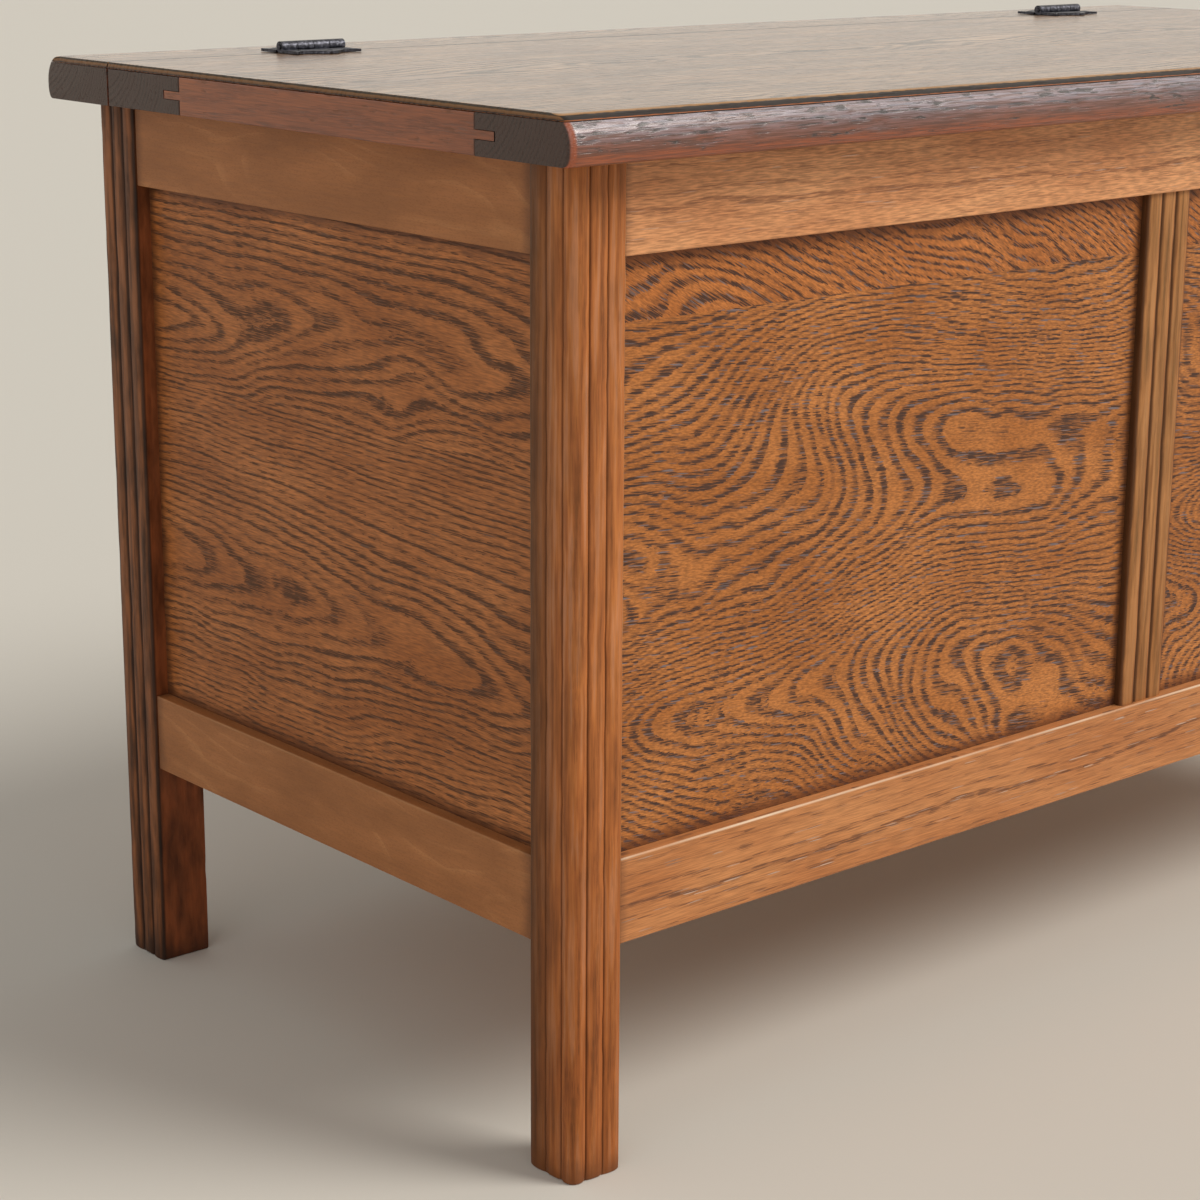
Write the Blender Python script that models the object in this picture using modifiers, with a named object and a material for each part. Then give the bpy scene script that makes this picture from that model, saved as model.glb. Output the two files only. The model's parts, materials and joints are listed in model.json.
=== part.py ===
"""An oak blanket chest: a framed and panelled box with a hinged lid.

X runs along the front, Y from the front to the back and Z up from the floor.
The origin is on the floor, under the middle of the lid and its back strip.
"""
import math

import bmesh
import bpy
from mathutils import Matrix, Vector

# Sizes in metres

# Carcass and posts
BODY_WIDTH = 0.882
BODY_DEPTH = 0.415
POST_HEIGHT = 0.511
POST_WIDTH = 0.032
POST_DEPTH = 0.034
CORNER_BEAD = 0.010
REED_DEPTH = 0.0015
VALLEY_SHARE = 0.93

# Rails, joined to the posts by tenons on the middle plane of the panels
FLOOR_CLEARANCE = 0.122
BOTTOM_RAIL_HEIGHT = 0.045
TOP_RAIL_HEIGHT = 0.046
RAIL_THICKNESS = 0.020
RAIL_SETBACK = 0.002
TENON_THICKNESS = 0.008
TENON_LENGTH = 0.0135
TENON_SHOULDER = 0.010

# Muntin in the middle of the front and of the back
MUNTIN_WIDTH = 0.037
MUNTIN_SETBACK = 0.0045
MUNTIN_TENON_WIDTH = 0.018
MUNTIN_TENON_LENGTH = 0.012

# Panels, loose in their grooves
PANEL_THICKNESS = 0.006
PANEL_SETBACK = 0.010
PANEL_GROOVE = 0.007
PANEL_SLACK = 0.0008

# Bottom board on its bearers
BEARER_SIZE = 0.015
BEARER_RISE = 0.003
BOTTOM_THICKNESS = 0.006
BEARER_SCREW_INSET = 0.180

# Lid and back strip
LID_SIDE_OVERHANG = 0.022
LID_FRONT_OVERHANG = 0.0235
STRIP_REAR_OVERHANG = 0.0195
STRIP_DEPTH = 0.066
SEAM_GAP = 0.001
LID_FRAME_THICKNESS = 0.020
SHEET_THICKNESS = 0.0032
FRONT_STILE_DEPTH = 0.069
REAR_STILE_DEPTH = 0.071
CLEAT_WIDTH = 0.060
LID_TONGUE_THICKNESS = 0.0042
LID_TONGUE_LENGTH = 0.014
LID_TONGUE_GAP = 0.0009

# Rounded nose along the front of the lid and the back of the strip
NOSE_INSET = 0.012
NOSE_DROP = 0.0145
NOSE_UNDER_INSET = 0.0035
NOSE_UNDER_RISE = 0.007
NOSE_CORNER_RADIUS = 0.004
SHEET_EDGE_RADIUS = 0.0012

# Dowels between the strip and what carries it
DOWEL_RADIUS = 0.003
DOWEL_LENGTH = 0.024
DOWEL_SETBACK = 0.010
DOWEL_SPACING = 0.400

# Hinges, laid on the top across the seam
HINGE_INSET = 0.113
HINGE_LENGTH = 0.044
LEAF_THICKNESS = 0.0016
LEAF_DEPTH = 0.0185
LEAF_SCALLOP = 0.003
LEAF_LOBE = 0.005
LEAF_LOBE_HALF_WIDTH = 0.008
BARREL_RADIUS = 0.0032
KNUCKLE_ROOT = 0.001
PIN_RADIUS = 0.0014
PIN_CLEARANCE = 0.0001
PIN_STAND = 0.0004

# Screws
SCREW_HEAD_RADIUS = 0.0030
SCREW_SHANK_RADIUS = 0.0013
SCREW_DOME = 0.0005
SCREW_TIP = 0.003
DOME_SHOULDER_SHARE = 0.7
SLOT_WIDTH = 0.0008
SLOT_DEPTH = 0.0008
HINGE_SCREW_LENGTH = 0.016
HINGE_SCREW_SIDE = 0.0165
HINGE_SCREW_OUT = 0.0115
HINGE_SCREW_LOBE_OUT = 0.0175
BEARER_SCREW_LENGTH = 0.025
BEARER_SCREW_HEAD_DEPTH = 0.001

# Clearance between neighbours, softened arrises and the overrun of cuts
FIT = 0.0003
ARRIS = 0.0007
OVERRUN = 0.002
WELD = 0.00001

# Counts and turns
KNUCKLE_COUNT = 4
REED_STEPS = 8
CORNER_STEPS = 10
NOSE_STEPS = 6
NOSE_CORNER_STEPS = 4
ARRIS_SEGMENTS = 2
SCALLOP_STEPS = 6
ROUND_STEPS = 16
SMOOTH_ANGLE = math.radians(30)
SLOT_TURN = math.radians(50)

# Places that follow from the sizes
FRONT = LID_FRONT_OVERHANG - (LID_FRONT_OVERHANG + BODY_DEPTH + STRIP_REAR_OVERHANG) / 2
BACK = FRONT + BODY_DEPTH
LID_FRONT = FRONT - LID_FRONT_OVERHANG
STRIP_BACK = BACK + STRIP_REAR_OVERHANG
SEAM = STRIP_BACK - STRIP_DEPTH - SEAM_GAP / 2
TOP_WIDTH = BODY_WIDTH + 2 * LID_SIDE_OVERHANG
LID_BOTTOM = POST_HEIGHT + FIT
FRAME_TOP = LID_BOTTOM + LID_FRAME_THICKNESS
SHEET_BOTTOM = FRAME_TOP + FIT
TOP = SHEET_BOTTOM + SHEET_THICKNESS
LEAF_BOTTOM = TOP + FIT
LEAF_TOP = LEAF_BOTTOM + LEAF_THICKNESS
HINGE_AXIS_HEIGHT = LEAF_BOTTOM + BARREL_RADIUS
BOTTOM_RAIL_TOP = FLOOR_CLEARANCE + BOTTOM_RAIL_HEIGHT
TOP_RAIL_BOTTOM = POST_HEIGHT - TOP_RAIL_HEIGHT
RAIL_BACK = RAIL_SETBACK + RAIL_THICKNESS
PANEL_MIDDLE = PANEL_SETBACK + PANEL_THICKNESS / 2
BEARER_LOW = FLOOR_CLEARANCE + BEARER_RISE
BEARER_TOP = BEARER_LOW + BEARER_SIZE


# Start from an empty scene
for old in list(bpy.data.objects):
    bpy.data.objects.remove(old)


def new_collection(name):
    """A collection of that name in the scene."""
    collection = bpy.data.collections.new(name)
    bpy.context.scene.collection.children.link(collection)
    return collection


PARTS = new_collection("blanket_chest")
CUTTERS = new_collection("cutters")


# Materials

def linear(channel):
    """One sRGB channel, 0 to 255, as linear light."""
    value = channel / 255
    if value <= 0.04045:
        return value / 12.92
    return ((value + 0.055) / 1.055) ** 2.4


def finish(name, colour, roughness, metallic=0.0):
    """A plain material from an sRGB hex colour."""
    material = bpy.data.materials.new(name)
    material.use_nodes = True
    shader = material.node_tree.nodes["Principled BSDF"]
    channels = [int(colour[i:i + 2], 16) for i in (1, 3, 5)]
    rgb = [linear(channel) for channel in channels]
    shader.inputs["Base Color"].default_value = (*rgb, 1.0)
    shader.inputs["Roughness"].default_value = roughness
    shader.inputs["Metallic"].default_value = metallic
    return material


POST_OAK = finish("post_oak", "#8a5229", 0.38)
RAIL_OAK = finish("rail_oak", "#a8683a", 0.36)
PANEL_OAK = finish("panel_oak", "#a3632f", 0.40)
SIDE_BEECH = finish("side_beech", "#7c5135", 0.42)
LID_OAK = finish("lid_oak", "#7d4a35", 0.34)
SHEET_PLY = finish("sheet_ply", "#b49a83", 0.32)
BACK_PLY = finish("back_ply", "#9a7350", 0.60)
PLAIN_PINE = finish("plain_pine", "#b08a5c", 0.65)
BLACK_IRON = finish("black_iron", "#26262a", 0.42, 1.0)
BRIGHT_STEEL = finish("bright_steel", "#8a8580", 0.40, 1.0)


# Building blocks

def add_object(name, mesh, collection=PARTS):
    """A new object around a mesh. A cutter shows as wire and stays out of renders."""
    obj = bpy.data.objects.new(name, mesh)
    collection.objects.link(obj)
    if collection is CUTTERS:
        obj.hide_render = True
        obj.display_type = "WIRE"
    return obj


def mesh_from(name, bm):
    """The mesh that a bmesh holds, its faces pointing out."""
    bmesh.ops.recalc_face_normals(bm, faces=bm.faces)
    mesh = bpy.data.meshes.new(name)
    bm.to_mesh(mesh)
    bm.free()
    return mesh


def box(name, low, high, collection=PARTS):
    """A box between two corners, its origin in its middle."""
    low = Vector(low)
    high = Vector(high)
    bm = bmesh.new()
    bmesh.ops.create_cube(bm, size=1.0, matrix=Matrix.Diagonal((*(high - low), 1.0)))
    obj = add_object(name, mesh_from(name, bm), collection)
    obj.location = (low + high) / 2
    return obj


def rod(name, radius, length, collection=PARTS):
    """A round bar along Z, its origin in its middle."""
    bm = bmesh.new()
    bmesh.ops.create_cone(
        bm, cap_ends=True, segments=ROUND_STEPS, radius1=radius, radius2=radius, depth=length
    )
    return add_object(name, mesh_from(name, bm), collection)


def prism(name, outlines, thickness, collection=PARTS):
    """Flat outlines, the later ones holes in the first, made solid about their own plane."""
    curve = bpy.data.curves.new(name, "CURVE")
    curve.dimensions = "2D"
    curve.fill_mode = "BOTH"
    curve.extrude = thickness / 2
    for outline in outlines:
        spline = curve.splines.new("POLY")
        spline.points.add(len(outline) - 1)
        for point, (x, y) in zip(spline.points, outline):
            point.co = (x, y, 0, 1)
        spline.use_cyclic_u = True
    flat = add_object(name + "_outline", curve, CUTTERS)
    bpy.context.view_layer.update()
    evaluated = flat.evaluated_get(bpy.context.evaluated_depsgraph_get())
    mesh = bpy.data.meshes.new_from_object(evaluated)
    bm = bmesh.new()
    bm.from_mesh(mesh)
    bmesh.ops.remove_doubles(bm, verts=bm.verts, dist=WELD)
    obj = add_object(name, mesh_from(name, bm), collection)
    obj.matrix_world = flat.matrix_world
    bpy.data.meshes.remove(mesh)
    bpy.data.objects.remove(flat)
    bpy.data.curves.remove(curve)
    return obj


def turned(name, profile, collection=PARTS):
    """A turned shape from a profile of radius and height, listed from the top down."""
    mesh = bpy.data.meshes.new(name)
    vertices = [(radius, 0, height) for radius, height in profile]
    edges = [(i, i + 1) for i in range(len(profile) - 1)]
    mesh.from_pydata(vertices, edges, [])
    obj = add_object(name, mesh, collection)
    screw = obj.modifiers.new("turned", "SCREW")
    screw.axis = "Z"
    screw.steps = ROUND_STEPS
    screw.render_steps = ROUND_STEPS
    screw.use_merge_vertices = True
    screw.merge_threshold = WELD
    return obj


def soften(obj):
    """Break the sharp arrises of a sawn piece."""
    bevel = obj.modifiers.new("arris", "BEVEL")
    bevel.width = ARRIS
    bevel.segments = ARRIS_SEGMENTS


def combine(target, other, operation):
    """Join another solid to a piece, or cut it out of the piece."""
    boolean = target.modifiers.new(operation.lower(), "BOOLEAN")
    boolean.operation = operation
    boolean.object = other
    boolean.solver = "EXACT"


def cut(targets, cutter):
    """Cut one shape out of several pieces."""
    for target in targets:
        combine(target, cutter, "DIFFERENCE")


def empty(name, location, turn=0.0):
    """A point that carries pieces, turned about Z."""
    obj = add_object(name, None)
    obj.location = location
    obj.rotation_euler = (0, 0, turn)
    return obj


def carry(parent, *pieces):
    """Parent pieces whose places are given in the parent's own frame."""
    for piece in pieces:
        piece.parent = parent


def paint(material, *pieces):
    """Give pieces their material."""
    for piece in pieces:
        piece.data.materials.clear()
        piece.data.materials.append(material)


# Posts

def reeds(start, length, count):
    """Points along a face cut with round reeds: the way along it and the depth below it.

    The valleys between reeds stay a little shallower than the edges of the face.
    """
    points = []
    width = length / count
    for reed in range(count):
        for step in range(REED_STEPS):
            angle = math.pi * step / REED_STEPS
            along = start + width * reed + width * (1 - math.cos(angle)) / 2
            depth = REED_DEPTH * (1 - math.sin(angle))
            if reed > 0 and step == 0:
                depth *= VALLEY_SHARE
            points.append((along, depth))
    points.append((start + length, REED_DEPTH))
    return points


def corner_bead():
    """The round bead of a post's outer corner, from its side valley to its front valley."""
    radius = REED_DEPTH + CORNER_BEAD - math.sqrt(2 * REED_DEPTH * CORNER_BEAD)
    first = math.atan2(CORNER_BEAD - radius, REED_DEPTH - radius)
    last = 2.5 * math.pi - first
    points = []
    for step in range(1, CORNER_STEPS):
        angle = first + (last - first) * step / CORNER_STEPS
        points.append((radius + radius * math.cos(angle), radius + radius * math.sin(angle)))
    return points


def front_post_outline():
    """Plan of a front post from its outer corner: a corner bead and two reeds on each face."""
    side = reeds(CORNER_BEAD, POST_DEPTH - CORNER_BEAD, 2)
    front = reeds(CORNER_BEAD, POST_WIDTH - CORNER_BEAD, 2)
    points = [(depth, along) for along, depth in reversed(side)]
    points += corner_bead()
    points += front
    points.append((POST_WIDTH, POST_DEPTH))
    return points


def rear_post_outline():
    """Plan of a rear post from its outer corner: three reeds on the side, plain elsewhere."""
    side = reeds(0, POST_DEPTH, 3)
    points = [(depth, along) for along, depth in reversed(side)]
    points.append((POST_WIDTH, 0))
    points.append((POST_WIDTH, POST_DEPTH))
    return points


def make_post(name, outline, across, along):
    """A post at a corner. The signs say which way is inward from its outer corner."""
    points = [(across * x, along * y) for x, y in outline]
    post = prism(name, [points], POST_HEIGHT)
    post.location = (-across * BODY_WIDTH / 2, FRONT if along > 0 else BACK, POST_HEIGHT / 2)
    paint(POST_OAK, post)
    return post


posts = {
    "front_left": make_post("post_front_left", front_post_outline(), 1, 1),
    "front_right": make_post("post_front_right", front_post_outline(), -1, 1),
    "rear_left": make_post("post_rear_left", rear_post_outline(), 1, -1),
    "rear_right": make_post("post_rear_right", rear_post_outline(), -1, -1),
}


# Framed sides of the carcass. Each is made in its own frame: X to the right as
# one faces it from outside, Y inward from the posts' outer faces and Z up.

def make_rail(side, place, opening, low, height, end_posts):
    """A rail with a tenon at each end, and the mortises for them in the two posts."""
    shoulder = opening / 2 - FIT
    reach = opening / 2 + TENON_LENGTH
    half = TENON_THICKNESS / 2
    name = side.name.replace("frame", place)
    rail = box(name, (-shoulder, RAIL_SETBACK, low), (shoulder, RAIL_BACK, low + height))
    soften(rail)
    tenon_low = low + TENON_SHOULDER
    tenon_high = low + height - TENON_SHOULDER
    tenons = box(
        name + "_tenons",
        (-reach, PANEL_MIDDLE - half, tenon_low),
        (reach, PANEL_MIDDLE + half, tenon_high),
        CUTTERS,
    )
    combine(rail, tenons, "UNION")
    mortises = box(
        name + "_mortises",
        (-reach - FIT, PANEL_MIDDLE - half - FIT, tenon_low - FIT),
        (reach + FIT, PANEL_MIDDLE + half + FIT, tenon_high + FIT),
        CUTTERS,
    )
    cut(end_posts, mortises)
    carry(side, rail, tenons, mortises)
    return rail


def make_muntin(side, rails, reeded):
    """The upright in the middle of a side, with a short tenon into each rail."""
    half_width = MUNTIN_WIDTH / 2
    if reeded:
        face = [(x, MUNTIN_SETBACK + y) for x, y in reeds(-half_width, MUNTIN_WIDTH, 3)]
    else:
        face = [(-half_width, MUNTIN_SETBACK), (half_width, MUNTIN_SETBACK)]
    outline = face + [(half_width, RAIL_BACK), (-half_width, RAIL_BACK)]
    name = side.name.replace("frame", "muntin")
    height = TOP_RAIL_BOTTOM - BOTTOM_RAIL_TOP - 2 * FIT
    muntin = prism(name, [outline], height)
    muntin.location = (0, 0, BOTTOM_RAIL_TOP + FIT + height / 2)
    half_tenon = MUNTIN_TENON_WIDTH / 2
    half_thick = TENON_THICKNESS / 2
    low = BOTTOM_RAIL_TOP - MUNTIN_TENON_LENGTH
    high = TOP_RAIL_BOTTOM + MUNTIN_TENON_LENGTH
    tenons = box(
        name + "_tenons",
        (-half_tenon, PANEL_MIDDLE - half_thick, low),
        (half_tenon, PANEL_MIDDLE + half_thick, high),
        CUTTERS,
    )
    combine(muntin, tenons, "UNION")
    mortises = box(
        name + "_mortises",
        (-half_tenon - FIT, PANEL_MIDDLE - half_thick - FIT, low - FIT),
        (half_tenon + FIT, PANEL_MIDDLE + half_thick + FIT, high + FIT),
        CUTTERS,
    )
    cut(rails, mortises)
    carry(side, muntin, tenons, mortises)
    return muntin


def make_panel(side, name, left, right, framing):
    """A panel for the opening between two uprights, and its groove in what frames it."""
    held = PANEL_GROOVE - PANEL_SLACK
    panel = box(
        name,
        (left - held, PANEL_SETBACK, BOTTOM_RAIL_TOP - held),
        (right + held, PANEL_SETBACK + PANEL_THICKNESS, TOP_RAIL_BOTTOM + held),
    )
    groove = box(
        name + "_groove",
        (left - PANEL_GROOVE, PANEL_SETBACK - FIT, BOTTOM_RAIL_TOP - PANEL_GROOVE),
        (
            right + PANEL_GROOVE,
            PANEL_SETBACK + PANEL_THICKNESS + FIT,
            TOP_RAIL_BOTTOM + PANEL_GROOVE,
        ),
        CUTTERS,
    )
    cut(framing, groove)
    carry(side, panel, groove)
    return panel


def make_side(name, location, turn, width, post_face, left_post, right_post):
    """The rails and panels between two posts, with a muntin on the long sides."""
    side = empty(name + "_frame", location, turn)
    opening = width - 2 * post_face
    ends = (left_post, right_post)
    bottom = make_rail(side, "bottom_rail", opening, FLOOR_CLEARANCE, BOTTOM_RAIL_HEIGHT, ends)
    top = make_rail(side, "top_rail", opening, TOP_RAIL_BOTTOM, TOP_RAIL_HEIGHT, ends)
    pieces = {"bottom_rail": bottom, "top_rail": top}
    if name in ("front", "back"):
        muntin = make_muntin(side, (bottom, top), reeded=(name == "front"))
        pieces["muntin"] = muntin
        pieces["panel_left"] = make_panel(
            side, name + "_panel_left", -opening / 2, -MUNTIN_WIDTH / 2,
            (left_post, muntin, bottom, top),
        )
        pieces["panel_right"] = make_panel(
            side, name + "_panel_right", MUNTIN_WIDTH / 2, opening / 2,
            (right_post, muntin, bottom, top),
        )
    else:
        pieces["panel"] = make_panel(
            side, name + "_panel", -opening / 2, opening / 2, (*ends, bottom, top)
        )
    return side, pieces


QUARTER = math.pi / 2
MIDDLE = (FRONT + BACK) / 2

front_side, front = make_side(
    "front", (0, FRONT, 0), 0, BODY_WIDTH, POST_WIDTH, posts["front_left"], posts["front_right"]
)
right_side, right = make_side(
    "right", (BODY_WIDTH / 2, MIDDLE, 0), QUARTER, BODY_DEPTH, POST_DEPTH,
    posts["front_right"], posts["rear_right"],
)
back_side, back = make_side(
    "back", (0, BACK, 0), 2 * QUARTER, BODY_WIDTH, POST_WIDTH,
    posts["rear_right"], posts["rear_left"],
)
left_side, left = make_side(
    "left", (-BODY_WIDTH / 2, MIDDLE, 0), 3 * QUARTER, BODY_DEPTH, POST_DEPTH,
    posts["rear_left"], posts["front_left"],
)

for pieces in (front, back):
    paint(RAIL_OAK, pieces["bottom_rail"], pieces["top_rail"], pieces["muntin"])
for pieces in (left, right):
    paint(SIDE_BEECH, pieces["bottom_rail"], pieces["top_rail"])
    paint(PANEL_OAK, pieces["panel"])
paint(PANEL_OAK, front["panel_left"], front["panel_right"])
paint(BACK_PLY, back["panel_left"], back["panel_right"])


# Bottom board, its bearers and their screws

def screw_profile():
    """A countersunk wood screw with a low domed head, its top plane at height zero."""
    return [
        (0, SCREW_DOME),
        (SCREW_HEAD_RADIUS * DOME_SHOULDER_SHARE, SCREW_DOME * DOME_SHOULDER_SHARE),
        (SCREW_HEAD_RADIUS, 0),
        (SCREW_SHANK_RADIUS, -LEAF_THICKNESS),
    ]


def make_screw(name, length, slot_turn):
    """A slotted countersunk screw, pointing down."""
    profile = screw_profile()
    profile.append((SCREW_SHANK_RADIUS, SCREW_TIP - length))
    profile.append((0, -length))
    screw = turned(name, profile)
    reach = SCREW_HEAD_RADIUS + OVERRUN
    slot = box(
        name + "_slot",
        (-reach, -SLOT_WIDTH / 2, SCREW_DOME - SLOT_DEPTH),
        (reach, SLOT_WIDTH / 2, SCREW_DOME + OVERRUN),
        CUTTERS,
    )
    slot.rotation_euler = (0, 0, slot_turn)
    carry(screw, slot)
    cut((screw,), slot)
    return screw


def make_screw_hole(name, length):
    """The countersunk hole for a screw, open above its head."""
    profile = [
        (0, OVERRUN),
        (SCREW_HEAD_RADIUS + FIT, OVERRUN),
        (SCREW_HEAD_RADIUS + FIT, 0),
        (SCREW_SHANK_RADIUS + FIT, -LEAF_THICKNESS),
        (SCREW_SHANK_RADIUS + FIT, -length - FIT),
        (0, -length - FIT),
    ]
    return turned(name, profile, CUTTERS)


def make_bearer(side, name, half_length):
    """A bearer glued inside a bottom rail."""
    bearer = box(
        name,
        (-half_length, RAIL_BACK + FIT, BEARER_LOW),
        (half_length, RAIL_BACK + FIT + BEARER_SIZE, BEARER_TOP),
    )
    soften(bearer)
    carry(side, bearer)
    paint(PLAIN_PINE, bearer)
    return bearer


long_half = BODY_WIDTH / 2 - POST_WIDTH - FIT
short_half = BODY_DEPTH / 2 - RAIL_BACK - BEARER_SIZE - 2 * FIT
left_bearer = make_bearer(left_side, "left_bearer", short_half)
right_bearer = make_bearer(right_side, "right_bearer", short_half)

for side, pieces, side_name in ((front_side, front, "front"), (back_side, back, "back")):
    bearer = make_bearer(side, side_name + "_bearer", long_half)
    for hand, place in (("left", -1), ("right", 1)):
        name = f"{side_name}_bearer_screw_{hand}"
        face = RAIL_BACK + FIT + BEARER_SIZE - BEARER_SCREW_HEAD_DEPTH
        spot = (
            place * (BODY_WIDTH / 2 - BEARER_SCREW_INSET),
            face,
            BEARER_LOW + BEARER_SIZE / 2,
        )
        screw = make_screw(name, BEARER_SCREW_LENGTH, place * SLOT_TURN)
        hole = make_screw_hole(name + "_hole", BEARER_SCREW_LENGTH)
        for piece in (screw, hole):
            piece.location = spot
            piece.rotation_euler = (-QUARTER, 0, 0)
        carry(side, screw, hole)
        cut((bearer, pieces["bottom_rail"]), hole)
        paint(BRIGHT_STEEL, screw)


def bottom_outline():
    """Plan of the bottom board: it fills the box and is notched round the posts."""
    wide = BODY_WIDTH / 2 - RAIL_BACK - FIT
    deep = BODY_DEPTH / 2 - RAIL_BACK - FIT
    notch_wide = BODY_WIDTH / 2 - POST_WIDTH - FIT
    notch_deep = BODY_DEPTH / 2 - POST_DEPTH - FIT
    corner = [(wide, notch_deep), (notch_wide, notch_deep), (notch_wide, deep)]
    points = list(corner)
    points += [(-x, y) for x, y in reversed(corner)]
    points += [(-x, -y) for x, y in corner]
    points += [(x, -y) for x, y in reversed(corner)]
    return points


bottom_board = prism("bottom_board", [bottom_outline()], BOTTOM_THICKNESS)
bottom_board.location = (0, MIDDLE, BEARER_TOP + FIT + BOTTOM_THICKNESS / 2)
paint(BACK_PLY, bottom_board)


# Lid and back strip. A nosed board lies with its nose at Y zero in its own frame.

def nose_inset(height):
    """How far the nose lies behind its outermost line at a height above the floor."""
    shoulder = TOP - NOSE_DROP
    if height >= shoulder:
        share = min((height - shoulder) / NOSE_DROP, 1)
        return NOSE_INSET * (1 - math.sqrt(1 - share * share))
    rise = LID_BOTTOM + NOSE_UNDER_RISE
    if height < rise:
        share = min((rise - height) / NOSE_UNDER_RISE, 1)
        return NOSE_UNDER_INSET * (1 - math.sqrt(1 - share * share))
    return 0


def side_inset(height):
    """How far the softened side edge of the top sheet lies inside its widest line."""
    climb = height - (TOP - SHEET_EDGE_RADIUS)
    if climb <= 0:
        return 0
    share = min(climb / SHEET_EDGE_RADIUS, 1)
    return SHEET_EDGE_RADIUS * (1 - math.sqrt(1 - share * share))


def nosed_ring(height, depth):
    """Plan of a nosed board at one height, its two outer corners rounded."""
    half_width = TOP_WIDTH / 2 - side_inset(height)
    nose = nose_inset(height)
    radius = NOSE_CORNER_RADIUS
    points = [(half_width, depth, height), (-half_width, depth, height)]
    for hand in (-1, 1):
        start = math.pi if hand < 0 else 1.5 * math.pi
        for step in range(NOSE_CORNER_STEPS + 1):
            angle = start + math.pi / 2 * step / NOSE_CORNER_STEPS
            x = hand * (half_width - radius) + radius * math.cos(angle)
            points.append((x, nose + radius + radius * math.sin(angle), height))
    return points


def curve_heights(low, high):
    """Heights between two levels, close together where the nose turns quickly."""
    heights = [low]
    shoulder = TOP - NOSE_DROP
    for step in range(NOSE_STEPS + 1):
        angle = math.pi / 2 * step / NOSE_STEPS
        heights.append(LID_BOTTOM + NOSE_UNDER_RISE * (1 - math.cos(angle)))
        heights.append(shoulder + NOSE_DROP * math.sin(angle))
    heights.append(high)
    inside = sorted(height for height in heights if low <= height <= high)
    chosen = [inside[0]]
    for height in inside[1:]:
        if height - chosen[-1] > FIT:
            chosen.append(height)
    chosen[-1] = high
    return chosen


def nosed_board(name, low, high, depth):
    """A board with the nose along its outer edge, between two heights."""
    bm = bmesh.new()
    layers = []
    for height in curve_heights(low, high):
        layers.append([bm.verts.new(point) for point in nosed_ring(height, depth)])
    bm.faces.new(layers[0])
    bm.faces.new(layers[-1])
    count = len(layers[0])
    for lower, upper in zip(layers, layers[1:]):
        for i in range(count):
            j = (i + 1) % count
            bm.faces.new((lower[i], lower[j], upper[j], upper[i]))
    return add_object(name, mesh_from(name, bm))


lid = empty("lid_hinge_axis", (0, SEAM, HINGE_AXIS_HEIGHT))


def hang(piece):
    """Hang a piece, placed in the chest's own frame, on the hinge axis."""
    piece.parent = lid
    piece.matrix_parent_inverse = Matrix.Translation(lid.location).inverted()


lid_back = SEAM - SEAM_GAP / 2
rear_stile_front = lid_back - REAR_STILE_DEPTH
front_stile_back = LID_FRONT + FRONT_STILE_DEPTH
tongue_middle = LID_BOTTOM + LID_FRAME_THICKNESS / 2

lid_front_stile = nosed_board("lid_front_stile", LID_BOTTOM, FRAME_TOP, FRONT_STILE_DEPTH)
lid_front_stile.location = (0, LID_FRONT, 0)
lid_rear_stile = box(
    "lid_rear_stile",
    (-TOP_WIDTH / 2, rear_stile_front, LID_BOTTOM),
    (TOP_WIDTH / 2, lid_back, FRAME_TOP),
)
soften(lid_rear_stile)

groove_reach = LID_TONGUE_LENGTH + LID_TONGUE_GAP
groove_half = LID_TONGUE_THICKNESS / 2 + FIT
lid_groove = box(
    "lid_groove",
    (-TOP_WIDTH / 2 - OVERRUN, front_stile_back - groove_reach, tongue_middle - groove_half),
    (TOP_WIDTH / 2 + OVERRUN, rear_stile_front + groove_reach, tongue_middle + groove_half),
    CUTTERS,
)
cut((lid_front_stile, lid_rear_stile), lid_groove)
hang(lid_groove)


def make_cross_rail(name, low, high):
    """A piece across the lid, with a tongue at each end in the stiles' grooves."""
    rail = box(
        name,
        (low, front_stile_back + FIT, LID_BOTTOM),
        (high, rear_stile_front - FIT, FRAME_TOP),
    )
    soften(rail)
    half = LID_TONGUE_THICKNESS / 2
    tongues = box(
        name + "_tongues",
        (low, front_stile_back - LID_TONGUE_LENGTH, tongue_middle - half),
        (high, rear_stile_front + LID_TONGUE_LENGTH, tongue_middle + half),
        CUTTERS,
    )
    combine(rail, tongues, "UNION")
    hang(tongues)
    return rail


cleat_left = make_cross_rail("lid_cleat_left", -TOP_WIDTH / 2, -TOP_WIDTH / 2 + CLEAT_WIDTH)
cleat_right = make_cross_rail("lid_cleat_right", TOP_WIDTH / 2 - CLEAT_WIDTH, TOP_WIDTH / 2)
middle_rail = make_cross_rail("lid_middle_rail", -CLEAT_WIDTH / 2, CLEAT_WIDTH / 2)

lid_sheet = nosed_board("lid_top_sheet", SHEET_BOTTOM, TOP, lid_back - LID_FRONT)
lid_sheet.location = (0, LID_FRONT, 0)

back_strip = nosed_board("back_strip", LID_BOTTOM, FRAME_TOP, STRIP_DEPTH)
strip_sheet = nosed_board("back_strip_sheet", SHEET_BOTTOM, TOP, STRIP_DEPTH)
for piece in (back_strip, strip_sheet):
    piece.location = (0, STRIP_BACK, 0)
    piece.rotation_euler = (0, 0, 2 * QUARTER)

for piece in (lid_front_stile, lid_rear_stile, cleat_left, cleat_right, middle_rail, lid_sheet):
    hang(piece)
paint(LID_OAK, lid_front_stile, lid_rear_stile, cleat_left, cleat_right, back_strip)
paint(PLAIN_PINE, middle_rail)
paint(SHEET_PLY, lid_sheet, strip_sheet)


# Dowels that fix the strip to the rear posts and to the back top rail

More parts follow.
